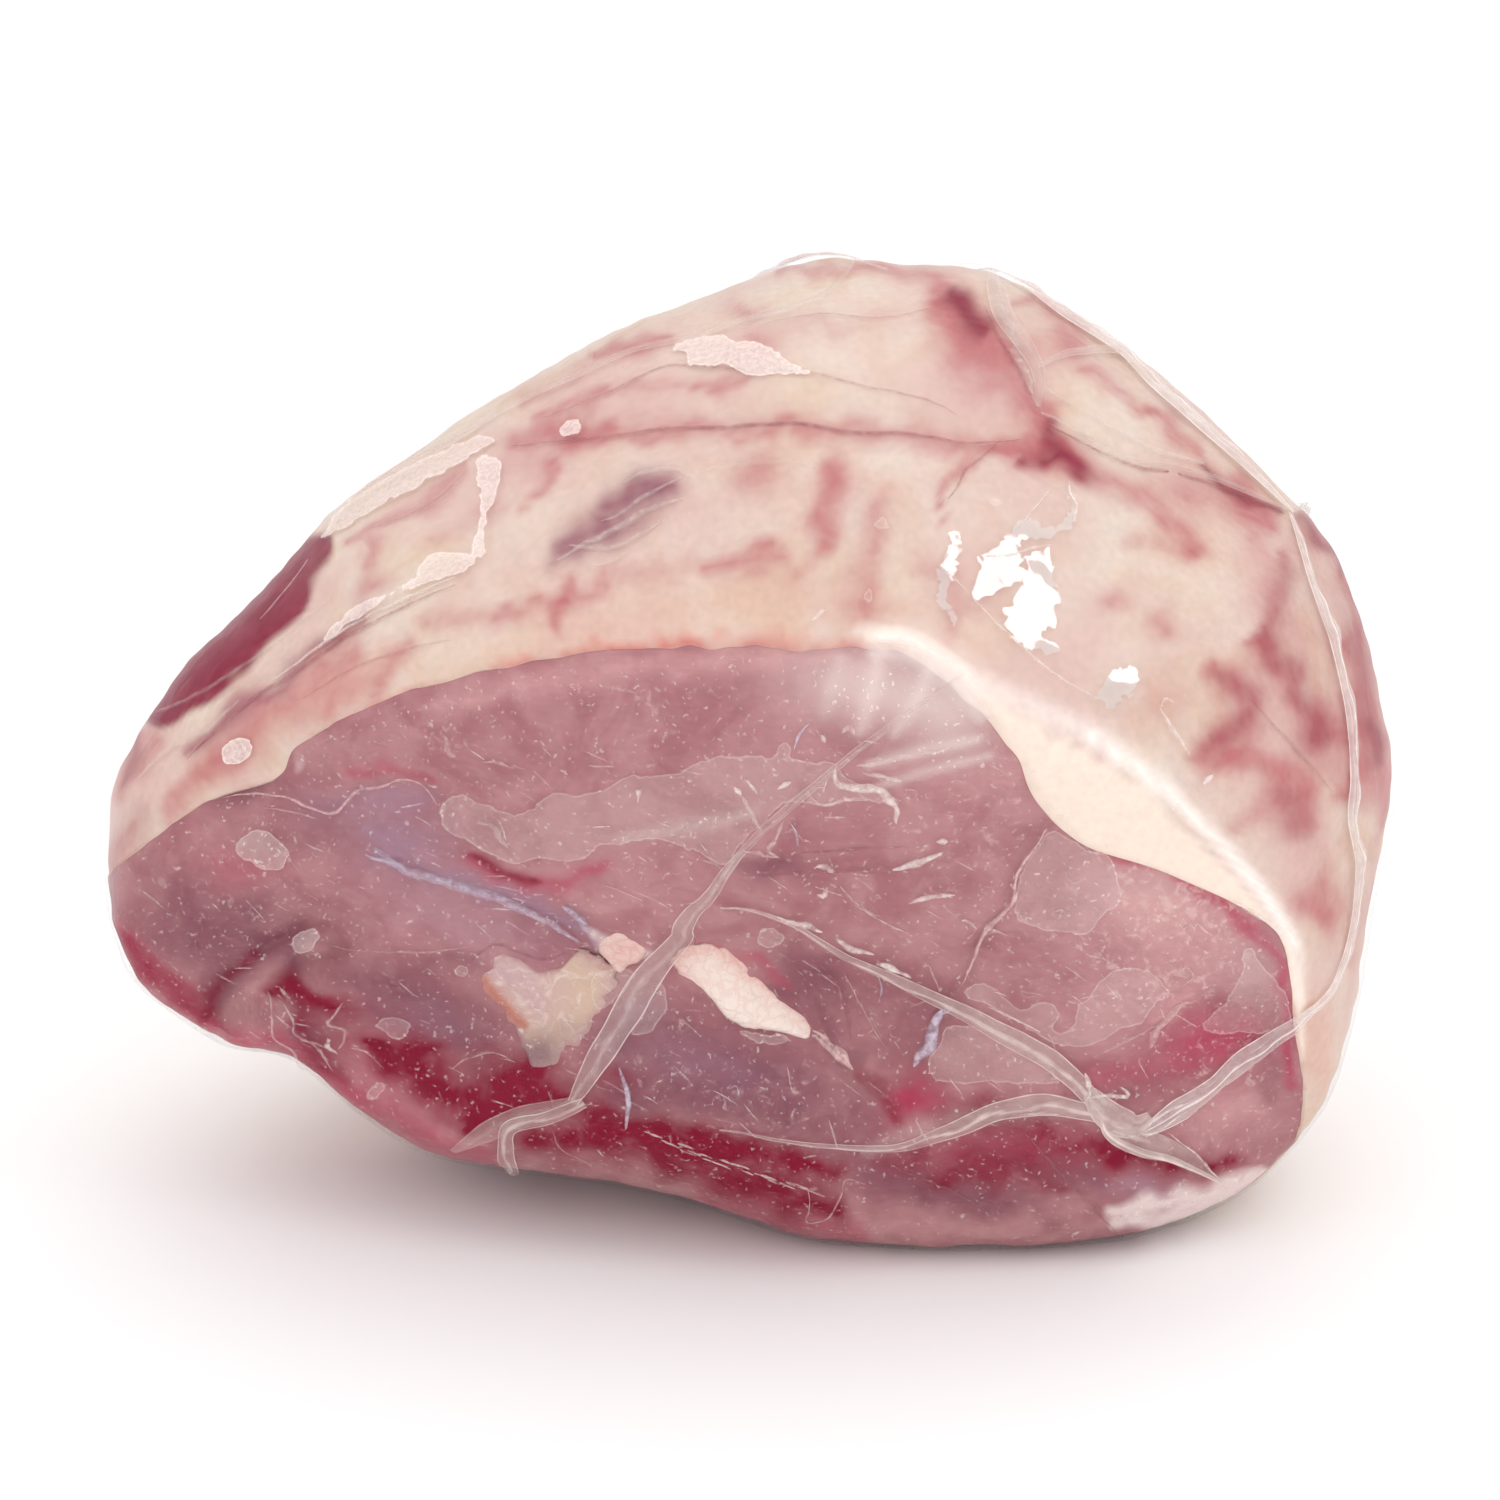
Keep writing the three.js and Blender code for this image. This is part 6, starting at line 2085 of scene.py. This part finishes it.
    blood: Sequence[Stroke] = (
        Stroke(((-53.5, 66), (-38.5, 67.5), (-28.5, 68.5), (-17.5, 70), (-2, 70.5), (14.5, 70.5), (28, 69), (45, 67), (59, 67.5)), 1.5, 0.5),
        Stroke(((-45.5, 72), (-30.5, 78), (-18.5, 83.5), (-11, 83.5), (-3.5, 83), (13.5, 82), (28, 78.5), (45, 73)), 1.4, 0.36),
        Stroke(((-1.5, 91.5), (11, 94.5), (28, 94), (41, 96.5)), 1.0, 0.29),
        Stroke(((-122.5, -2), (-116, 4.5), (-104, 14), (-89, 24), (-80.5, 28.5), (-64, 36)), 1.6, 0.5),
        Stroke(((-83, 48), (-74.5, 51), (-67.5, 55), (-61.5, 61)), 1.4, 0.36),
        Stroke(((-98, 11), (-88, 17), (-76, 21.5), (-65, 24)), 1.1, 0.22),
        Stroke(((54.5, 67.5), (51, 64), (47, 61), (45, 57), (43, 54.5)), 1.1, 0.43),
        Stroke(((51, 96.5), (54, 90), (58, 83.5), (61.5, 76.5)), 1.6, 0.43),
        Stroke(((63, 72), (71, 67.5), (83, 62), (93.5, 60), (104.5, 56.5), (115.5, 52.5)), 1.4, 0.43),
        Stroke(((9, -22.5), (17.5, -22), (24, -21.5), (34.5, -21)), 1.0, 0.43),
        Stroke(((2, -27.5), (16.5, -26.5), (26, -26.5), (32.5, -27.5)), 1.0, 0.43),
        Stroke(((59, -82.5), (67.5, -92), (75.5, -100.5), (80, -105.5)), 1.1, 0.43),
        Stroke(((31.5, -91), (39.5, -94), (46, -97), (52, -100.5)), 1.0, 0.36),
        Stroke(((-121.5, -43), (-121, -41.5), (-120, -44)), 0.8, 0.5),
        Stroke(((-61, -46), (-54.5, -42.5), (-45.5, -45.5), (-40, -44)), 1.1, 0.36),
        Stroke(((15.5, -47), (19, -51), (21, -56.5), (22, -63)), 1.6, 0.36),
        Stroke(((109, 11), (117.5, 1.5), (126.5, -9)), 1.6, 0.22),
    )
    glints: Sequence[Stroke] = (
        Stroke(((47, 34), (53.5, 27.5), (59, 22.5), (64, 18), (70, 14), (75.5, 11)), 0.8, 0.42),
        Stroke(((41.5, 39.5), (45, 36.5), (47.5, 34)), 0.7, 0.42),
        Stroke(((51, 42), (56.5, 42.5), (61, 43.5), (65.5, 44.5)), 0.8, 0.42),
        Stroke(((58, 48), (61, 51.5), (63.5, 54.5), (65, 56.5)), 0.7, 0.42),
        Stroke(((69, 58), (69.5, 55.5), (71, 52.5), (70, 50)), 0.9, 0.68),
        Stroke(((89, 9), (91, 5.5), (93.5, 2), (95.5, -1)), 1.2, 0.51),
        Stroke(((89, 9), (90, 11), (92, 10)), 0.8, 0.42),
        Stroke(((100, -5), (98.5, -7.5)), 1.7, 0.59),
        Stroke(((91.5, -13), (93.5, -11)), 1.0, 0.42),
        Stroke(((13.5, 28), (15, 29.5), (16.5, 30.5)), 1.2, 0.59),
        Stroke(((104.5, -32.5), (111.5, -36.5), (117.5, -39.5)), 1.0, 0.51),
        Stroke(((-64, 37), (-76, 32), (-84, 28), (-93.5, 22), (-104, 14.5)), 0.8, 0.42),
        Stroke(((-95.5, 41), (-100, 35), (-106, 28)), 0.5, 0.34),
        Stroke(((18.5, -3.5), (20, -7.5), (24, -8), (28.5, -8.5), (31, -11), (32, -15.5)), 2.6, 0.6),
        Stroke(((12.5, -8.5), (15.5, -11.5), (21, -10.5), (26, -10.5)), 1.0, 0.38),
        Stroke(((16, -9), (17, -6)), 0.9, 0.42),
        Stroke(((23, -3), (27.5, -2.5), (35, -1), (43.5, 0.5)), 1.6, 0.26),
        Stroke(((24.5, -4.5), (28.5, -5.5), (33, -6)), 1.6, 0.42),
        Stroke(((15.5, 3.5), (16.5, 2)), 1.8, 0.51),
        Stroke(((20, 4), (21.5, 5), (22.5, 3.5)), 1.6, 0.51),
        Stroke(((72.5, -70), (73.5, -72.5), (74, -75), (73, -76)), 1.3, 0.8),
        Stroke(((73.5, -75.5), (77.5, -75), (82, -75), (80.5, -73)), 1.2, 0.75),
        Stroke(((97.5, -75.5), (91.5, -78), (86.5, -81), (85, -83), (87, -83), (91, -81), (95, -78)), 1.0, 0.7),
        Stroke(((90, -82.5), (96, -87), (100, -91), (103.5, -94.5)), 0.7, 0.55),
        Stroke(((78.5, -82.5), (83, -84), (87, -85)), 1.6, 0.4),
        Stroke(((-3, -7.5), (-2, -9.5)), 1.5, 0.68),
        Stroke(((-1, -6), (1.5, -9)), 1.0, 0.51),
        Stroke(((6, -8), (9, -6.5)), 1.6, 0.59),
        Stroke(((-24.5, -9.5), (-24, -8), (-24.5, -11)), 1.4, 0.42),
        Stroke(((-59, -15), (-56, -16.5), (-52.5, -21)), 2.2, 0.26),
        Stroke(((-2, -9), (0.5, -13.5), (2.5, -17.5)), 1.2, 0.26),
        Stroke(((31, -25.5), (37, -24), (42, -22)), 2.0, 0.59),
        Stroke(((34.5, -33), (39.5, -31.5), (44.5, -31)), 1.6, 0.55),
        Stroke(((40.5, -19.5), (43, -19.5)), 2.0, 0.51),
        Stroke(((14.5, -25.5), (16.5, -25), (18.5, -26)), 2.0, 0.59),
        Stroke(((14.5, -31), (16, -31.5), (17, -29.5)), 1.4, 0.55),
        Stroke(((6, -36), (11, -37.5), (16, -39)), 1.8, 0.59),
        Stroke(((18.5, -40.5), (22.5, -43), (27, -44)), 1.8, 0.59),
        Stroke(((27.5, -46), (31, -47.5), (35, -49)), 2.2, 0.68),
        Stroke(((-101, -55), (-99.5, -58.5), (-96.5, -62.5), (-93, -66), (-90.5, -69.5)), 1.2, 0.3),
        Stroke(((-104.5, -52.5), (-103.5, -58), (-100.5, -64), (-97, -69)), 1.0, 0.3),
        Stroke(((-88.5, -54.5), (-90, -57), (-92, -59), (-89.5, -60), (-88, -62), (-89.5, -64.5)), 1.0, 0.32),
        Stroke(((-92, -62), (-91.5, -64.5), (-89.5, -65.5)), 1.2, 0.68),
        Stroke(((-102, -51.5), (-100, -54)), 1.2, 0.59),
        Stroke(((72, -104), (70, -105)), 1.2, 0.42),
        Stroke(((55.5, -80), (61, -79), (67.5, -79)), 1.0, 0.42),
        Stroke(((52, -55.5), (57.5, -58), (63, -61)), 0.8, 0.42),
    )
    fine_wrinkle_glints: int = 170
    glint_middle: tuple[float, float] = (-10.0, -42.0)
    glint_reach: tuple[float, float] = (110.0, 50.0)
    glint_heading: float = -28.0
    comb_from: tuple[float, float] = (-23, -83)
    comb_to: tuple[float, float] = (12.5, -95.5)
    comb_teeth: int = 22
    tooth: tuple[float, float] = (3.4, -1.3)

    def build(self) -> list[bpy.types.Object]:
        """Builds the four kinds of line.

        Returns:
            The pieces.
        """
        random = np.random.default_rng(SEED)
        teeth = []
        # the comb and the fine wrinkles are painted glints: white strips where small wrinkles of the film catch the
        # light
        for share in np.linspace(0, 1, self.comb_teeth):
            at = np.asarray(self.comb_from) + share * (np.asarray(self.comb_to) - self.comb_from)
            at += random.uniform(-0.7, 0.7, 2)
            grow = random.uniform(0.5, 1.3)
            teeth.append(Stroke((tuple(at), tuple(at + grow * np.asarray(self.tooth))), random.uniform(0.4, 0.9), 0.45))
        for _ in range(self.fine_wrinkle_glints):
            turn, out = random.uniform(0, 2 * math.pi), math.sqrt(random.uniform(0, 1))
            at = np.asarray(self.glint_middle) + out * np.asarray(self.glint_reach) * (math.cos(turn), math.sin(turn))
            heading = math.radians(random.normal(self.glint_heading, 24))
            foot = at + random.uniform(1.5, 6.5) * np.array([math.cos(heading), math.sin(heading)])
            teeth.append(Stroke((tuple(at), tuple(foot)), random.uniform(0.3, 0.65), random.uniform(0.12, 0.42)))
        kinds = (
            ("fat_threads", "fat_cap", "fat", 0.05, 0.15, 700, self.pale, 1.6, 0.12, Thread("thin_fat_membrane", "#e3d2ca")),
            ("sinews", "lean_meat", "lean", -0.25, 0.3, 300, self.sinews, 0.8, 0.2, Thread("connective_tissue", "#dfb9b7")),
            ("silver_skin", "lean_meat", "lean", -0.1, 0.25, 400, self.silver, 1.0, 0.12, Thread("silver_skin", "#cfbfd0")),
            ("blood_lines", "fat_cap", "fat", 0.0, 0.08, 500, self.blood, 1.6, 0.08, Thread("blood_in_creases", "#a5646d")),
            # the film glints are painted highlights on the small wrinkles
            ("film_glints", "shrink_film", "film", 0.62, 0.35, 600, (*self.glints, *teeth), 0.7, 0.2, Thread("painted_glints_on_film_wrinkles", "#f6e8e4")),
        )
        return [Strands(*kind[:-1]).build(self.form, kind[-1].make()) for kind in kinds]


@dataclass
class FilmPleats:
    """All the folds of the bag."""

    form: LegForm
    pleats: Sequence[Pleat] = (
        Pleat("pleat_diagonal_top", ((46.5, 16.5), (26.5, 2.5), (13, -8.5), (3.5, -16.5), (-6, -27.5)), (1.0, 1.4, 2.0, 2.4), 0.5, 1, 0.12, 0.95, 1, 0.2),
        Pleat("pleat_diagonal_tape", ((-1, -21.5), (-6, -27.5), (-14.5, -38), (-21, -47.5), (-27.5, -58.5), (-33.5, -68), (-38.5, -76.5)), (2.6, 3.2, 4.6, 5.8, 6.6, 6.4, 4.6), 0.7, 1, 0.17, 0.9, 5, 0.25),
        Pleat("pleat_diagonal_tail", ((-36, -76.5), (-44.5, -80), (-51.5, -81.5), (-53, -86), (-50.5, -92)), (4.6, 3.6, 3.4, 4.4, 1.5), 1.4, 1, 0.22, 0.95, 9),
        Pleat("pleat_diagonal_flap", ((-38, -75.5), (-50, -79.5), (-58.5, -83.5), (-64.5, -87)), (2, 4, 5, 3), 0.6, 1, 0.16, 0.4, 11),
        Pleat("pleat_right_diagonal", ((-6.5, -34), (3.5, -35.5), (9, -37.5), (19.5, -44), (36.5, -52), (52.5, -60), (67, -68.5), (76.5, -78)), (1, 1.5, 2.2, 3, 4.6, 6, 6), 0.9, 1, 0.24, 0.85, 13, 0.6),
        Pleat("pleat_lower", ((76.5, -79.5), (72, -78.5), (63, -77), (54, -78.5), (43, -83), (34, -86), (24, -86.5), (9, -85), (-6.5, -82.5)), (6, 6, 5, 3, 1.8, 1.4, 1.0, 0.8), 0.9, 1, 0.2, 0.85, 17, 0.6),
        Pleat("pleat_right_cord", ((117, 51.5), (121.5, 37.5), (126.5, 23.5), (130, 7.5), (131, -6.5), (130.5, -14), (132, -25.5), (130.5, -39), (126.5, -51.5), (119, -59)), (3, 3.6, 4, 3.8, 3.6, 4, 4, 4.2), 1.5, 3, 0.36, 1.0, 21, 0.9),
        Pleat("pleat_right_low", ((123.5, -55), (119, -59), (108, -66.5), (99, -74), (85.5, -83)), (3.5, 5, 6, 4, 6.5, 5), 1.4, 3, 0.3, 0.95, 25, 0.8),
        Pleat("pleat_top_bundle", ((53.5, 104), (68, 94.5), (80.5, 86.5), (87.5, 79.5), (97, 71), (106.5, 62.5), (118, 51.5)), (4, 5, 6, 6, 5.5, 4.5), 1.8, 3, 0.4, 0.9, 29, 0.9),
        Pleat("pleat_top_cross", ((62.5, 83), (69.5, 86), (79, 86.5), (83, 85.5)), (1.2, 2.2, 2.6, 3.0), 0.8, 2, 0.25, 0.6, 33),
        Pleat("pleat_top_fold", ((52.5, 103.5), (55, 94.5), (59.5, 88), (62.5, 82), (62.5, 74.5)), (3.5, 5.5, 5, 4, 2), 1.4, 1, 0.22, 0.45, 35),
        Pleat("pleat_top_line", ((64, 78.5), (74.5, 72.5), (87.5, 65.5), (98.5, 62)), (1.0, 1.2, 1.6), 0.6, 1, 0.15, 0.5, 37),
        Pleat("pleat_top_low", ((63, 73), (66, 72), (73, 67.5), (83, 63), (94.5, 61), (104, 57.5), (116.5, 52)), (1.4, 1.6, 1.2, 2.0, 2.6), 0.8, 2, 0.18, 0.55, 41),
        Pleat("pleat_long", ((23, 106.5), (19.5, 101.5), (14.5, 98), (8, 95.5), (-2, 93), (-12, 89.5), (-25.5, 86.5), (-35.5, 82), (-45.5, 77.5), (-59, 70.5)), (1.1, 1.3, 1.7, 2.2, 3.0, 3.0), 0.8, 2, 0.16, 0.5, 45),
        Pleat("pleat_long_left", ((-55.5, 72), (-67.5, 65), (-76, 61), (-88, 52.5)), (2.6, 3.5, 2.0), 0.7, 2, 0.2, 0.4, 49),
        Pleat("pleat_back_seam", ((54.5, 104), (42, 98, BACK), (26, 74, BACK), (16, 46, BACK), (10, 16, BACK)), (4.0, 5.0, 5.0, 3.0), 1.8, 3, 0.3, 0.6, 57),
        Pleat("pleat_back_left", ((30, 104), (-12, 92, BACK), (-52, 68, BACK), (-84, 40, BACK), (-104, 14, BACK)), (2.5, 3.0, 3.0), 1.4, 2, 0.25, 0.6, 61),
        Pleat("pleat_back_right", ((117.5, 52), (112, 44, BACK), (92, 30, BACK), (70, 19, BACK), (46, 12, BACK)), (3.0, 4.0, 3.0), 1.6, 2, 0.28, 0.6, 65),
        Pleat("pleat_knot", ((73.5, -74), (76.5, -78), (80, -80.5), (84, -81.5), (87, -79.5)), (5, 6.5, 6.5, 5), 1.6, 2, 0.4, 0.85, 77),
        Pleat("pleat_ear", ((79, -82), (85, -85), (92, -87.5), (99, -91.5), (103.5, -94.5)), (7, 7, 4.5, 2.5, 0.8), 0.8, 1, 0.26, 0.3, 81),
        Pleat("pleat_ear_rim", ((76.5, -79), (77, -82.5), (79.5, -85), (85.5, -87.5), (92, -89), (97.5, -91.5), (103.5, -94.5)), (1.4, 2.2, 2, 1.6, 1.2, 0.8), 1.0, 1, 0.6, 0.95, 85, 0.9),
    )

    def build(self) -> list[bpy.types.Object]:
        """Builds every fold.

        Returns:
            The pieces.
        """
        flat, corded = FoldedFilm().make(), FoldedFilm("gathered_shrink_film", "#faefeb").make()
        return [pleat.build(self.form, corded if pleat.ridges > 2 else flat) for pleat in self.pleats]


@dataclass(frozen=True)
class Softbox:
    """A soft light, placed so that the film mirrors it to the camera at one place."""

    name: str
    mirrored_at: tuple[float, float]
    size: tuple[float, float]
    power: float
    distance: float = 1.4

    def build(self, form: LegForm, camera: Vector) -> bpy.types.Object:
        """Puts the light up.

        Args:
            form: The leg's form.
            camera: Where the camera stands, in metres.

        Returns:
            The light.
        """
        place, normal = form.over_map(form.on_map([self.mirrored_at]))
        here, out = Vector(place[0]) * MM, Vector(normal[0]).normalized()
        view = (camera - here).normalized()
        ray = (2.0 * out.dot(view) * out - view).normalized()
        data = bpy.data.lights.new(self.name, "AREA")
        data.shape = "RECTANGLE"
        data.size, data.size_y = self.size
        data.energy = self.power
        light = bpy.data.objects.new(self.name, data)
        light.location = here + ray * self.distance
        light.rotation_euler = (-ray).to_track_quat("-Z", "Y").to_euler()
        bpy.context.scene.collection.objects.link(light)
        return light


@dataclass
class Studio:
    """A white table in soft white light, and the camera."""

    form: LegForm
    floor_size: float = 14.0
    sky: float = 1.0
    softboxes: Sequence[Softbox] = (
        Softbox("softbox_right", (61, 34.5), (0.4, 0.5), 1.0),
        Softbox("softbox_cut", (30.5, 11), (0.5, 0.24), 0.8),
    )

    def build(self) -> None:
        """Builds the table, the sky, the camera and the lights."""
        camera = self._camera()
        self._floor()
        self._world()
        for box in self.softboxes:
            box.build(self.form, camera.location)
        settings = bpy.context.scene.view_settings
        settings.view_transform = "Standard"
        settings.look = "None"

    def _camera(self) -> bpy.types.Object:
        """Stands the camera in front, looking down at the angle the leg leans back."""
        data = bpy.data.cameras.new("camera")
        data.sensor_width = SENSOR_WIDTH
        data.lens = SENSOR_WIDTH * CAMERA_DISTANCE / PHOTO_WIDTH
        data.clip_end = 50.0
        camera = bpy.data.objects.new("camera", data)
        aim = Vector((self.form.shift[0], self.form.shift[1], self.form.floor_cut)) * MM
        back = Vector((0.0, -math.cos(LEAN_BACK), math.sin(LEAN_BACK)))
        camera.location = aim + back * CAMERA_DISTANCE * MM
        camera.rotation_euler = (-back).to_track_quat("-Z", "Y").to_euler()
        bpy.context.scene.collection.objects.link(camera)
        bpy.context.scene.camera = camera
        return camera

    def _floor(self) -> None:
        """Lays the white table."""
        half = self.floor_size / MM / 2
        corners = np.array([(-half, -half, 0), (half, -half, 0), (half, half, 0), (-half, half, 0)], float)
        floor = add_mesh("table", corners, [(0, 1, 2, 3)])
        material, tree = bare_material("white_laminate")
        grain = add_node(tree, "TexNoise", {"Scale": per_mm(30)})
        tint = add_node(
            tree, "Mix", {0: grain.outputs["Fac"], 6: srgb("#fbfbfb"), 7: srgb("#ffffff")}, data_type="RGBA"
        )
        shader = add_node(tree, "BsdfPrincipled", {"Base Color": tint.outputs[2], "Roughness": 0.8})
        add_node(tree, "OutputMaterial", {"Surface": shader.outputs[0]})
        floor.data.materials.append(material)

    def _world(self) -> None:
        """Makes the white room's light: brightest overhead."""
        world = bpy.data.worlds.new("white_room")
        world.use_nodes = True
        tree = world.node_tree
        tree.nodes.clear()
        place = add_node(tree, "TexCoord").outputs["Generated"]
        height = add_node(tree, "SeparateXYZ", {0: place})
        level = add_node(
            tree,
            "MapRange",
            {
                "Value": height.outputs["Z"], "From Min": 0.0, "From Max": 0.8, "To Min": 0.76 * self.sky,
                "To Max": 1.26 * self.sky,
            },
            interpolation_type="SMOOTHSTEP",
        )
        glow = add_node(
            tree, "Background", {"Color": (1.0, 1.0, 1.0, 1.0), "Strength": level.outputs["Result"]}
        )
        add_node(tree, "OutputWorld", {"Surface": glow.outputs[0]})
        bpy.context.scene.world = world


def report(pieces: Sequence[bpy.types.Object]) -> None:
    """Logs each piece's size."""
    for piece in pieces:
        log.info("%s: %d faces", piece.name, len(piece.data.polygons))


def main() -> None:
    """Builds the leg, its film and the studio in order."""
    logging.basicConfig(level=logging.INFO, format="%(message)s")
    form = LegForm()
    log.info("form set down at %.2f, %.2f mm", *form.shift)
    skin = Skin(form)
    report([LeanMeat(skin).build(), FatCap(skin).build(), LegBone(form).build()])
    seam_fat = SeamFat().make()
    lumps = (
        SeamLump(
            "seam_fat_a",
            "seam_fat_left",
            ((-33, -43.5), (-32, -41), (-29, -39.5), (-26, -41), (-22.5, -43.5), (-24, -46), (-26.5, -47), (-28.5, -48.5), (-31, -46)),
            (Spot((-27, -43.5), (8, 6), 0.75),),
            41,
        ),
        SeamLump(
            "seam_fat_b",
            "seam_fat_middle",
            (
                (-17, -46), (-15, -43), (-11, -42), (-6, -43), (-1.5, -46), (2, -49), (5.5, -52.5), (9, -55.5),
                (12.5, -58.5), (14.5, -61.5), (12.5, -63), (9, -62), (4.5, -61), (0, -60.5), (-4, -59),
                (-7, -56), (-9.5, -53), (-13, -50), (-16, -48.5),
            ),
            (
                Stroke(((-17.5, -45.5), (-9, -42.5), (0, -48), (11, -56), (22, -69)), 2.2, 0.75),
                Spot((-16, -49), (4, 5), 0.6),
            ),
            43,
        ),
    )
    report([lump.build(form, seam_fat) for lump in lumps])
    report(ShrinkSkin(skin).build())
    report(Markings(form).build())
    report(FilmPleats(form).build())
    Studio(form).build()


if __name__ == "__main__":
    main()
